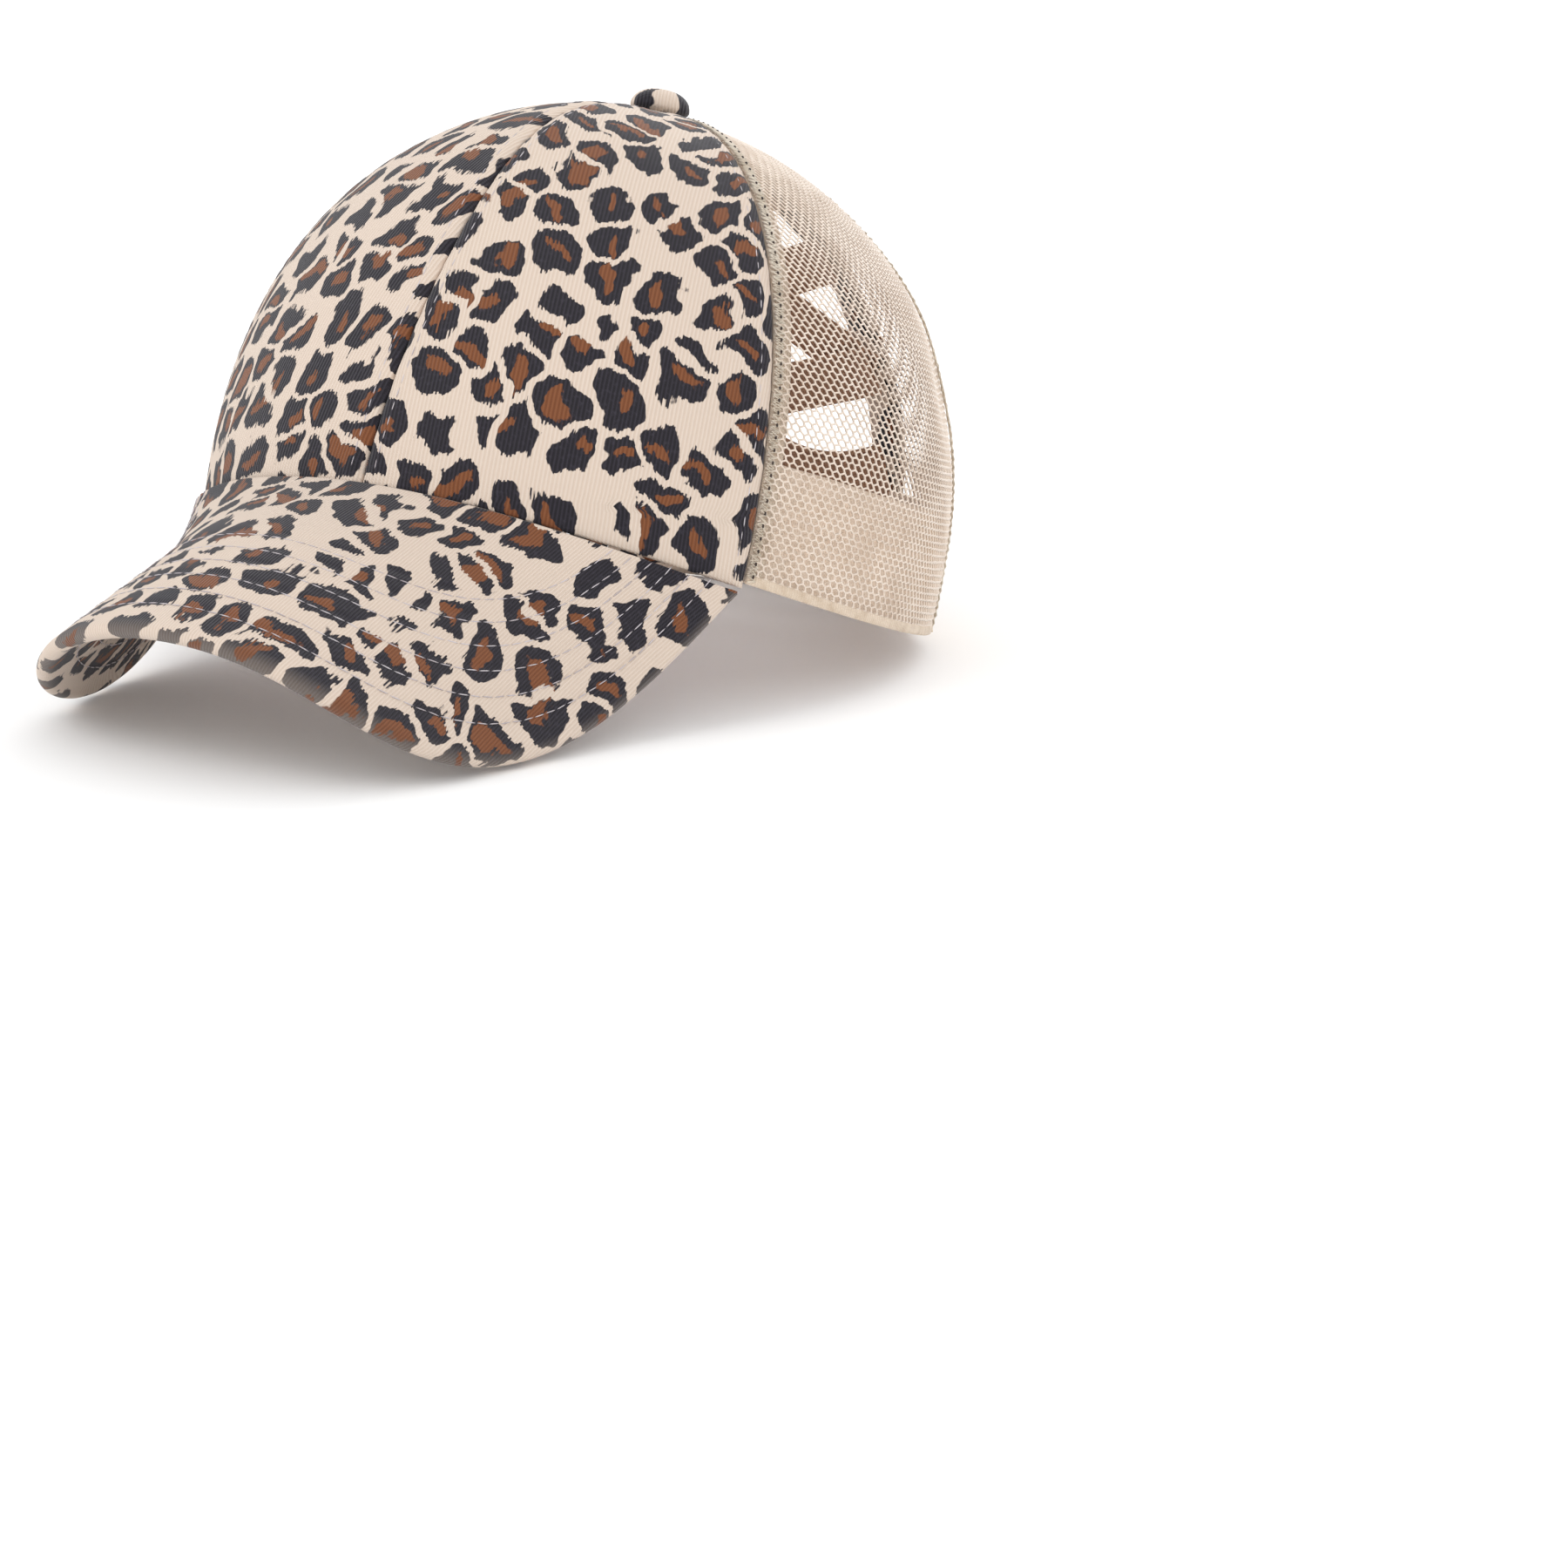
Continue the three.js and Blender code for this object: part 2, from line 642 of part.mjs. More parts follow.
// Button: a covered dome over the meeting point of the panels, with a shank through it.
function button() {
  const seat = CROWN_HEIGHT + GAP;
  const profile = [
    [0, seat - BUTTON_SHANK_LENGTH],
    [BUTTON_SHANK_RADIUS, seat - BUTTON_SHANK_LENGTH],
    [BUTTON_SHANK_RADIUS, seat],
    ...BUTTON_PROFILE.map((row) => [row.radius * BUTTON_RADIUS, seat + row.height * BUTTON_HEIGHT]),
  ].map(([radius, height]) => new THREE.Vector2(radius, height));
  const geometry = new THREE.LatheGeometry(profile, BUTTON_SIDES);
  geometry.rotateX(Math.PI / 2);
  return geometry;
}

addPiece('top_button', button(), PRINTED, 0.85);

// Care tab: a small blank tab that stands beside the closure's right end.
const careTabStart = CARE_TAB_TUCK - openingEdge;
addPiece(
  'care_tab',
  rearStrap(
    careTabStart,
    careTabStart - CARE_TAB_WIDTH,
    CARE_TAB_TOP - CARE_TAB_HEIGHT,
    CARE_TAB_TOP,
    bindingInner + LAYER_GAP,
    CARE_TAB_CLOTH,
  ),
  PEACH,
  0.9,
);

// Lowest point of some pieces when the cap is tilted back by an angle.
function lowestAt(pieces, tilt) {
  let lowest = Infinity;
  for (const piece of pieces) {
    const place = piece.geometry.getAttribute('position');
    for (let i = 0; i < place.count; i += 1) {
      lowest = Math.min(lowest, place.getZ(i) * Math.cos(tilt) - place.getY(i) * Math.sin(tilt));
    }
  }
  return lowest;
}

// Tilt at which the brim's tips and the rear rim stand on one level.
function restingTilt() {
  const peak = cap.children.filter((piece) => piece.name === 'brim');
  const crown = cap.children.filter((piece) => piece.name !== 'brim');
  let low = 0;
  let high = Math.PI / 4;
  for (let i = 0; i < 40; i += 1) {
    const middle = (low + high) / 2;
    if (lowestAt(peak, middle) < lowestAt(crown, middle)) {
      low = middle;
    } else {
      high = middle;
    }
  }
  return (low + high) / 2;
}

cap.rotation.x = -restingTilt();

const part = new THREE.Group();
part.add(cap);
part.updateMatrixWorld(true);
const box = new THREE.Box3().setFromObject(part, true);
part.position.set(-(box.min.x + box.max.x) / 2, -(box.min.y + box.max.y) / 2, -box.min.z);

export default part;
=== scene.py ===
"""Finished look of a ponytail baseball cap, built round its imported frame.

Metres. The cloth is worked out in the head's frame, where the rim lies level, the front faces -Y and
+X is the wearer's left. to_part turns it into the frame's own axes, where the cap stands on a table.
"""

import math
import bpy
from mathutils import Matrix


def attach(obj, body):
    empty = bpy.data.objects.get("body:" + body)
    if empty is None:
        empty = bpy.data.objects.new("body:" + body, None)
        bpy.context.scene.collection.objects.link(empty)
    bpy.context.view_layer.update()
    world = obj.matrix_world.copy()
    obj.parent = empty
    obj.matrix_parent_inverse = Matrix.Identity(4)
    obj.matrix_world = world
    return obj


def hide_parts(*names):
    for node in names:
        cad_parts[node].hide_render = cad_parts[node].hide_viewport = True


bl_info = {
    "name": "Ponytail cap",
    "version": (1, 0, 0),
    "blender": (4, 5, 0),
    "location": "3D View > Sidebar > Cap",
    "description": "Builds the cloth, net, elastics and stitching of a ponytail cap round its frame",
    "category": "Object",
}

import bpy
import numpy as np
from bpy.props import FloatProperty, FloatVectorProperty, IntProperty, PointerProperty
from mathutils import Quaternion, Vector

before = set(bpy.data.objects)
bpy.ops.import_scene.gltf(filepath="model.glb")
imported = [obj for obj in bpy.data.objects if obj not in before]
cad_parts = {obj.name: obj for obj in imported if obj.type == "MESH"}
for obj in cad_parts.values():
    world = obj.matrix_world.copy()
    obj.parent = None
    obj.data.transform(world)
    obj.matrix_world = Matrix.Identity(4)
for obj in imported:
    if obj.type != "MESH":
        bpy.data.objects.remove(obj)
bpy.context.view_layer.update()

MM = 0.001
TAU = 2 * math.pi

# Crown, as the frame's own shape has it
CROWN_HALF_WIDTH = 88.5 * MM
CROWN_FRONT_DEPTH = 93.7 * MM
CROWN_BACK_DEPTH = 76.9 * MM
CROWN_HEIGHT = 108 * MM
RIM_WAVE = 5.3 * MM
FRONT_FLATTENING = 0.119
BACK_FULLNESS = 0.047
GORE_FLATTENING = 0.012
CROWN_TOP_SHARE = 0.978
FRONT_SEAM = math.radians(59.5)
REAR_SEAM = math.radians(121)
SPREAD = {"mean": 0.982, "front_back": -0.099, "front_side": -0.065}
UNDERCUT = {"mean": 0.07, "front_back": 0.002, "front_side": -0.073}
RISE = {"mean": 0.859, "front_back": -0.054, "front_side": 0.023}
DENT_COLUMNS = ("bearing", "height", "across", "along", "lean", "depth")
DENTS = (
    (146, 0.44, 9, 0.2, -30, 0.034),
    (131, 0.34, 8, 0.17, -30, -0.02),
    (112, 0.3, 9, 0.1, 20, 0.022),
    (88, 0.52, 12, 0.12, 0, 0.012),
    (222, 0.52, 9, 0.16, 25, 0.02),
    (262, 0.36, 10, 0.14, -15, 0.018),
)

# Place of the head's frame in the part's frame
HEAD_TILT = math.radians(18.197)
HEAD_PLACE = Vector((0, 40.03, 18.97)) * MM

# Cloth layers, measured inward from the crown's outer face
GAP = 0.3 * MM
LAYER_GAP = 0.5 * MM
COTTON = 1.4 * MM
NET = 1.2 * MM
LINING = 1.0 * MM
TAPE = 1.0 * MM
TAPE_HALF_WIDTH = 6 * MM
SWEATBAND = 1.4 * MM
SWEATBAND_HEIGHT = 30 * MM
SWEATBAND_END = math.radians(146)
LINING_OUTER = COTTON + GAP
TAPE_ON_LINING = LINING_OUTER + LINING + LAYER_GAP
TAPE_ON_NET = NET + LAYER_GAP

# Brim
BRIM_THICKNESS = 4 * MM
BRIM_CORNER = math.radians(58.4)
BRIM_CORNER_DROP = 3 * MM
BRIM_REACH = 63.1 * MM
BRIM_FALL = 44 * MM
BRIM_HALF_WIDTH = 67.6 * MM
BRIM_CAMBER = 2.3 * MM
BRIM_EDGE_COLUMNS = ("across", "ahead", "below")
BRIM_EDGE = ((0.987, -0.577, 0.607), (0.775, 0.182, 2.26), (1, 0.985, 1), (0, 1, 1))

# Opening at the back, with its binding
OPENING_HALF_WIDTH = 42.5 * MM
OPENING_STRAIGHT = 38 * MM
OPENING_HEIGHT = 124 * MM
BINDING_WIDTH = 9 * MM
BINDING_CLOTH = 1 * MM
BINDING_INNER = NET + LAYER_GAP + BINDING_CLOTH
OPENING_EDGE = OPENING_HALF_WIDTH - BINDING_WIDTH / 2
NET_TUCK = 2.6 * MM

# Closure and elastics
CLOSURE_HEIGHT = 22.3 * MM
CLOSURE_CLOTH = 1.4 * MM
CLOSURE_END = 34 * MM
CLOSURE_PROUD = 0.9 * MM
CLOSURE_TAPE = 1.1 * MM
CLOSURE_TAPE_END = 2.9 * MM
UNDER_STRAP_RISE = 1.2 * MM
ELASTIC_WIDTH = 14 * MM
ELASTIC_CLOTH = 1.1 * MM
ELASTIC_TUCK = 5 * MM
ELASTIC_ANCHOR = 0.8 * MM
ELASTIC_BOW = 2.5 * MM
ELASTICS = {
    "elastic_upper_outer": {
        "layer": 0, "tucks": (0, 0),
        "line": ((0.79, 0.529), (0.4, 0.609), (0, 0.7), (-0.376, 0.782)),
    },
    "elastic_upper_inner": {
        "layer": 1, "tucks": (0, 1.4),
        "line": ((0.553, 0.723), (0.1, 0.665), (-0.35, 0.606), (-0.812, 0.548)),
    },
    "elastic_lower_inner": {
        "layer": 1, "tucks": (1.4, 0),
        "line": ((0.847, 0.48), (0.25, 0.42), (-0.35, 0.361), (-0.941, 0.302)),
    },
    "elastic_lower_outer": {
        "layer": 0, "tucks": (0, 0),
        "line": ((0.854, 0.25), (0.3, 0.17), (-0.05, 0.35), (-0.824, 0.508)),
    },
}

# Small pieces
BUTTON_RADIUS = 7.2 * MM
BUTTON_HEIGHT = 6.4 * MM
CARE_TAB_WIDTH = 6.5 * MM
CARE_TAB_HEIGHT = 14 * MM
CARE_TAB_TOP = 28.5 * MM
CARE_TAB_TUCK = 2.2 * MM
CARE_TAB_CLOTH = 0.7 * MM


def srgb(red, green, blue):
    """Linear colour, with alpha, from the 0 to 255 values that a picture shows."""
    def linear(value):
        share = value / 255
        return share / 12.92 if share <= 0.04045 else ((share + 0.055) / 1.055) ** 2.4
    return (linear(red), linear(green), linear(blue), 1.0)


def unit(vectors):
    """The same directions at length 1."""
    return vectors / np.maximum(np.linalg.norm(vectors, axis=-1, keepdims=True), 1e-12)


def lerp(start, end, share):
    """A value at a share of the way between two."""
    return start + (end - start) * share


def turn_to_part(vectors):
    """Directions of the head's frame in the part's frame."""
    x, y, z = np.moveaxis(np.asarray(vectors, float), -1, 0)
    cos, sin = math.cos(HEAD_TILT), math.sin(HEAD_TILT)
    return np.stack([x, y * cos + z * sin, z * cos - y * sin], axis=-1)


def to_part(points):
    """Points of the head's frame in the part's frame."""
    return turn_to_part(points) + np.array(HEAD_PLACE)


# Crown's surface

DIRECTION_STEP = 0.002


def by_bearing(row, bearing):
    """A value that changes between the front, the sides and the back."""
    return row["mean"] + row["front_back"] * np.cos(bearing) + row["front_side"] * np.cos(2 * bearing)


def smooth_crown(bearing, share):
    """Points of the smooth crown at bearings, at shares of the way from the rim to the top."""
    bearing, share = np.broadcast_arrays(np.asarray(bearing, float), np.asarray(share, float))
    forward = np.cos(bearing)
    spread = by_bearing(SPREAD, bearing)
    undercut = np.maximum(by_bearing(UNDERCUT, bearing), 0)
    rise = by_bearing(RISE, bearing)
    angle = -undercut + (math.pi / 2 + undercut) * share
    swell = np.sin(2 * np.clip(angle, 0, math.pi / 2))
    fullness = np.where(forward > 0, -FRONT_FLATTENING, BACK_FULLNESS) * forward ** 2
    gore = 1 - GORE_FLATTENING * np.sin(3 * bearing) ** 2 * np.sin(math.pi * share)
    narrowing = (np.abs(np.cos(angle)) / np.cos(undercut)) ** spread
    radius = narrowing * (1 + fullness * swell) * gore
    climb = np.sign(np.sin(angle)) * np.abs(np.sin(angle)) ** rise
    start = np.sin(undercut) ** rise
    height = (climb + start) / (1 + start)
    depth = np.where(forward > 0, CROWN_FRONT_DEPTH, CROWN_BACK_DEPTH)
    rim = RIM_WAVE * np.cos(2 * bearing)
    x = CROWN_HALF_WIDTH * np.sin(bearing) * radius
    y = -depth * forward * radius
    return np.stack([x, y, rim + (CROWN_HEIGHT - rim) * height], axis=-1)


def crown_frame(bearing, share):
    """Metres round the crown for each radian, and the directions up and out."""
    step = DIRECTION_STEP
    low = np.clip(share - step, 0, (1 + CROWN_TOP_SHARE) / 2 - 2 * step)
    around = smooth_crown(bearing + step, share) - smooth_crown(bearing - step, share)
    up = smooth_crown(bearing, low + 2 * step) - smooth_crown(bearing, low)
    per_radian = np.linalg.norm(around, axis=-1) / (2 * step)
    return per_radian, unit(up), unit(np.cross(around, up))


def dent_depth(bearing, share):
    """Depth of the dents, each a soft hollow that may lean."""
    degrees = np.degrees(bearing)
    total = np.zeros(np.broadcast(bearing, share).shape)
    for row in DENTS:
        dent = dict(zip(DENT_COLUMNS, row))
        turned = (degrees - dent["bearing"] + 180) % 360 - 180
        along = (share - dent["height"]) / dent["along"]
        across = (turned - dent["lean"] * (share - dent["height"])) / dent["across"]
        total += CROWN_HALF_WIDTH * dent["depth"] * np.exp(-across ** 2 - along ** 2)
    return total


def crown_at(bearing, share, depth):
    """Points at depths inside the crown's outer face."""
    out = crown_frame(bearing, share)[2]
    sunk = depth + dent_depth(bearing, share)
    return smooth_crown(bearing, share) - out * np.asarray(sunk)[..., None]


TABLE_BEARINGS = np.linspace(0, math.pi, 181)
TABLE_SHARES = np.linspace(0, 1, 97)


def length_tables():
    """Length of cloth above the rim at each share, for each bearing of one side."""
    rows = smooth_crown(TABLE_BEARINGS[:, None], TABLE_SHARES[None, :])
    steps = np.linalg.norm(np.diff(rows, axis=1), axis=-1)
    return np.concatenate([np.zeros((len(rows), 1)), np.cumsum(steps, axis=1)], axis=1)


LENGTHS = length_tables()


def tables_at(bearing):
    """Length tables at any bearings, one row each."""
    turned = np.abs((bearing + math.pi) % TAU - math.pi)
    place = turned / math.pi * (len(TABLE_BEARINGS) - 1)
    low = np.clip(np.floor(place).astype(int), 0, len(TABLE_BEARINGS) - 2)
    return lerp(LENGTHS[low], LENGTHS[low + 1], (place - low)[:, None])


def share_at_length(bearing, length):
    """Shares of the height at which lengths of cloth above the rim end."""
    bearing, length = np.broadcast_arrays(np.asarray(bearing, float), np.asarray(length, float))
    table = tables_at(bearing.ravel())
    wanted = length.ravel()
    index = np.clip((table < wanted[:, None]).sum(axis=1), 1, len(TABLE_SHARES) - 1)
    rows = np.arange(len(wanted))
    below, above = table[rows, index - 1], table[rows, index]
    share = (index - 1 + (wanted - below) / (above - below)) / (len(TABLE_SHARES) - 1)
    return share.reshape(bearing.shape)


def cloth_length(bearing):
    """Length of cloth from the rim to the panels' tops."""
    bearing = np.asarray(bearing, float)
    table = tables_at(bearing.ravel())
    place = CROWN_TOP_SHARE * (len(TABLE_SHARES) - 1)
    low = int(place)
    return lerp(table[:, low], table[:, low + 1], place - low).reshape(bearing.shape)


def rear_place(x, length):
    """Bearing and share of places on the back, from x and the length of cloth above the rim."""
    x, length = np.broadcast_arrays(np.asarray(x, float), np.asarray(length, float))
    x = np.where(np.abs(x) < 1e-6, 1e-6, x)
    bearing = math.pi - np.arcsin(np.clip(x / CROWN_HALF_WIDTH, -1, 1))
    for _ in range(12):
        share = share_at_length(bearing, length)
        reach = smooth_crown(bearing, share)[..., 0] / np.sin(bearing)
        bearing = math.pi - np.arcsin(np.clip(x / reach, -1, 1))
    return bearing, share


def rear_point(x, length, depth):
    """Points on the back, from x and the length of cloth above the rim."""
    bearing, share = rear_place(x, length)
    return crown_at(bearing, share, depth)


# Meshes

def mesh_object(name, points, faces, flat):
    """A smooth mesh object with a map of the flat cloth in metres."""
    mesh = bpy.data.meshes.new(name)
    mesh.from_pydata(points.tolist(), [], faces)
    layer = mesh.uv_layers.new(name="cloth")
    index = np.empty(len(mesh.loops), np.int32)
    mesh.loops.foreach_get("vertex_index", index)
    layer.data.foreach_set("uv", flat[index].astype(np.float32).ravel())
    mesh.shade_smooth()
    piece = bpy.data.objects.new(name, mesh)
    bpy.context.scene.collection.objects.link(piece)
    return piece


def new_piece(name, points, faces, flat):
    """A mesh object of quads whose faces are turned outward."""
    corners = points[np.concatenate([faces[:, :3], faces[:, [0, 2, 3]]])]
    volume = np.einsum("ij,ij->i", corners[:, 0], np.cross(corners[:, 1], corners[:, 2])).sum()
    if volume < 0:
        faces = faces[:, ::-1]
    return mesh_object(name, points, faces.tolist(), flat)


def grid_faces(index):
    """Quads between the rows and columns of a grid of vertex numbers."""
    quads = [index[:-1, :-1], index[:-1, 1:], index[1:, 1:], index[1:, :-1]]
    return np.stack(quads, axis=-1).reshape(-1, 4)


def closed_sheet(name, outer, inner, flat, flat_inner=None):
    """A closed cloth between two grids of points that share their border."""
    flat_inner = flat if flat_inner is None else flat_inner
    rows, columns = outer.shape[:2]
    front = np.arange(rows * columns).reshape(rows, columns)
    back = front.copy()
    inside = (rows - 2) * (columns - 2)
    back[1:-1, 1:-1] = rows * columns + np.arange(inside).reshape(rows - 2, columns - 2)
    points = np.concatenate([outer.reshape(-1, 3), inner[1:-1, 1:-1].reshape(-1, 3)])
    flats = np.concatenate([flat.reshape(-1, 2), flat_inner[1:-1, 1:-1].reshape(-1, 2)])
    faces = np.concatenate([grid_faces(front), grid_faces(back)[:, ::-1]])
    return new_piece(name, to_part(points), faces, flats)


def edge_steps(count, length, edge):
    """Shares along a length, close together near its ends so that a rounded edge is smooth."""
    near = np.array([0, 0.06, 0.25, 0.55]) * edge / length
    middle = np.linspace(edge / length, 1 - edge / length, count)
    return np.concatenate([near, middle, 1 - near[::-1]])


def rounded(across, along, width, height, half):
    """Half thickness of a cloth, falling to nothing in a quarter circle at its edges."""
    near = np.minimum(np.minimum(across, 1 - across) * width, np.minimum(along, 1 - along) * height)
    reach = np.clip(near / half, 0, 1)
    return half * np.sqrt(1 - (1 - reach) ** 2)


def soft_plate(name, counts, size, half, place, flat):
    """Cloth of a size with rounded edges. place(across, along, offset) gives its points."""
    steps_across = edge_steps(counts[0], size[0], half)
    steps_along = edge_steps(counts[1], size[1], half)
    across, along = np.meshgrid(steps_across, steps_along)
    height = rounded(across, along, size[0], size[1], half)
    outer = place(across, along, -height)
    inner = place(across, along, height)
    return closed_sheet(name, outer, inner, flat(across, along))


def finish_piece(piece, material, slot, *nodes):
    """Gives a piece its finish, its place in the frame and the nodes that it stands for."""
    piece.data.materials.clear()
    piece.data.materials.append(material)
    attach(piece, "root")
    if nodes:
        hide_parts(*nodes)
    return piece


# Geometry node trees

def link_chain(tree, *sockets):
    """Links each output to the input that follows it."""
    for start, end in zip(sockets[::2], sockets[1::2]):
        tree.links.new(start, end)


def new_tree(name, inputs):
    """A geometry tree with named inputs, each given as its name, kind and default."""
    tree = bpy.data.node_groups.new(name, "GeometryNodeTree")
    tree.interface.new_socket("Geometry", in_out="INPUT", socket_type="NodeSocketGeometry")
    for label, kind, default in inputs:
        socket = tree.interface.new_socket(label, in_out="INPUT", socket_type=kind)
        if default is not None:
            socket.default_value = default
    tree.interface.new_socket("Geometry", in_out="OUTPUT", socket_type="NodeSocketGeometry")
    return tree, tree.nodes.new("NodeGroupInput").outputs, tree.nodes.new("NodeGroupOutput").inputs


def finish_tree(tree, geometry, given, result):
    """Ends a tree in smooth faces, realized instances and the material."""
    smooth = tree.nodes.new("GeometryNodeSetShadeSmooth")
    real = tree.nodes.new("GeometryNodeRealizeInstances")
    paint = tree.nodes.new("GeometryNodeSetMaterial")
    link_chain(
        tree,
        geometry, real.inputs["Geometry"],
        real.outputs["Geometry"], smooth.inputs["Geometry"],
        smooth.outputs["Geometry"], paint.inputs["Geometry"],
        given["Material"], paint.inputs["Material"],
        paint.outputs["Geometry"], result["Geometry"],
    )


def yarn_tree():
    """Round yarn along every edge of a mesh."""
    tree, given, result = new_tree("yarn", (
        ("Radius", "NodeSocketFloat", 0.3 * MM),
        ("Sides", "NodeSocketInt", 5),
        ("Material", "NodeSocketMaterial", None),
    ))
    lines = tree.nodes.new("GeometryNodeMeshToCurve")
    section = tree.nodes.new("GeometryNodeCurvePrimitiveCircle")
    tube = tree.nodes.new("GeometryNodeCurveToMesh")
    tube.inputs["Fill Caps"].default_value = True
    link_chain(
        tree,
        given["Geometry"], lines.inputs["Mesh"],
        given["Sides"], section.inputs["Resolution"],
        given["Radius"], section.inputs["Radius"],
        lines.outputs["Curve"], tube.inputs["Curve"],
        section.outputs["Curve"], tube.inputs["Profile Curve"],
    )
    finish_tree(tree, tube.outputs["Mesh"], given, result)
    return tree


def stitch_tree():
    """Short stitches in a row along every edge of a mesh, lying on the surface that it crosses."""
    tree, given, result = new_tree("stitches", (
        ("Pitch", "NodeSocketFloat", 3 * MM),
        ("Stitch Length", "NodeSocketFloat", 2.4 * MM),
        ("Radius", "NodeSocketFloat", 0.22 * MM),
        ("Seed", "NodeSocketInt", 3),
        ("Material", "NodeSocketMaterial", None),
    ))
    new = tree.nodes.new
    lines = new("GeometryNodeMeshToCurve")
    spaced = new("GeometryNodeResampleCurve")
    spaced.mode = "LENGTH"
    stitch = new("GeometryNodeMeshUVSphere")
    stitch.inputs["Segments"].default_value = 6
    stitch.inputs["Rings"].default_value = 5
    stitch.inputs["Radius"].default_value = 1
    size = new("ShaderNodeCombineXYZ")
    half = new("ShaderNodeMath")
    half.operation = "MULTIPLY"
    half.inputs[1].default_value = 0.5
    tangent = new("GeometryNodeInputTangent")
    normal = new("GeometryNodeInputNamedAttribute")
    normal.data_type = "FLOAT_VECTOR"
    normal.inputs["Name"].default_value = "surface"
    along = new("FunctionNodeAlignRotationToVector")
    along.axis = "X"
    flat = new("FunctionNodeAlignRotationToVector")
    flat.axis = "Z"
    flat.pivot_axis = "X"
    lean = new("FunctionNodeRandomValue")
    lean.data_type = "FLOAT_VECTOR"
    lean.inputs["Min"].default_value = (0, -0.05, -0.07)
    lean.inputs["Max"].default_value = (0, 0.05, 0.07)
    turned = new("FunctionNodeRotateRotation")
    turned.rotation_space = "LOCAL"
    laid = new("GeometryNodeInstanceOnPoints")
    link_chain(
        tree,
        given["Geometry"], lines.inputs["Mesh"],
        lines.outputs["Curve"], spaced.inputs["Curve"],
        given["Pitch"], spaced.inputs["Length"],
        given["Stitch Length"], half.inputs[0],
        half.outputs[0], size.inputs["X"],
        given["Radius"], size.inputs["Y"],
        given["Radius"], size.inputs["Z"],
        tangent.outputs["Tangent"], along.inputs["Vector"],
        along.outputs["Rotation"], flat.inputs["Rotation"],
        normal.outputs["Attribute"], flat.inputs["Vector"],
        given["Seed"], lean.inputs["Seed"],
        flat.outputs["Rotation"], turned.inputs["Rotation"],
        lean.outputs["Value"], turned.inputs["Rotate By"],
        spaced.outputs["Curve"], laid.inputs["Points"],
        stitch.outputs["Mesh"], laid.inputs["Instance"],
        turned.outputs["Rotation"], laid.inputs["Rotation"],
        size.outputs["Vector"], laid.inputs["Scale"],
    )
    finish_tree(tree, laid.outputs["Instances"], given, result)
    return tree


def grown(name, tree, lines, **values):
    """A plain mesh object grown by a tree on lines, each a pair of points and surface directions."""
    points = np.concatenate([to_part(line[0]) for line in lines])
    normals = np.concatenate([turn_to_part(line[1]) for line in lines])
    edges = []
    start = 0
    for line in lines:
        end = start + len(line[0])
        edges.append(np.stack([np.arange(start, end - 1), np.arange(start + 1, end)], axis=-1))
        start = end
    mesh = bpy.data.meshes.new(name + "_lines")
    mesh.from_pydata(points.tolist(), np.concatenate(edges).tolist(), [])
    attribute = mesh.attributes.new("surface", "FLOAT_VECTOR", "POINT")
    attribute.data.foreach_set("vector", normals.astype(np.float32).ravel())
    carrier = bpy.data.objects.new(name + "_carrier", mesh)
    bpy.context.scene.collection.objects.link(carrier)
    modifier = carrier.modifiers.new("grow", "NODES")
    modifier.node_group = tree
    sockets = {
        item.name: item.identifier
        for item in tree.interface.items_tree
        if item.in_out == "INPUT"
    }
    for label, value in values.items():
        modifier[sockets[label.replace("_", " ")]] = value
    view = bpy.context.evaluated_depsgraph_get()
    made = bpy.data.meshes.new_from_object(carrier.evaluated_get(view))
    made.name = name
    bpy.data.objects.remove(carrier)
    bpy.data.meshes.remove(mesh)
    if "surface" in made.attributes:
        made.attributes.remove(made.attributes["surface"])
    piece = bpy.data.objects.new(name, made)
    bpy.context.scene.collection.objects.link(piece)
    return piece


def grow_piece(name, tree, lines, finish, slot, *nodes, **values):
    """A piece grown by a tree on lines, with its finish and the nodes that it stands for."""
    piece = grown(name, tree, lines, Material=finish, **values)
    return finish_piece(piece, finish, slot, *nodes)


# Materials

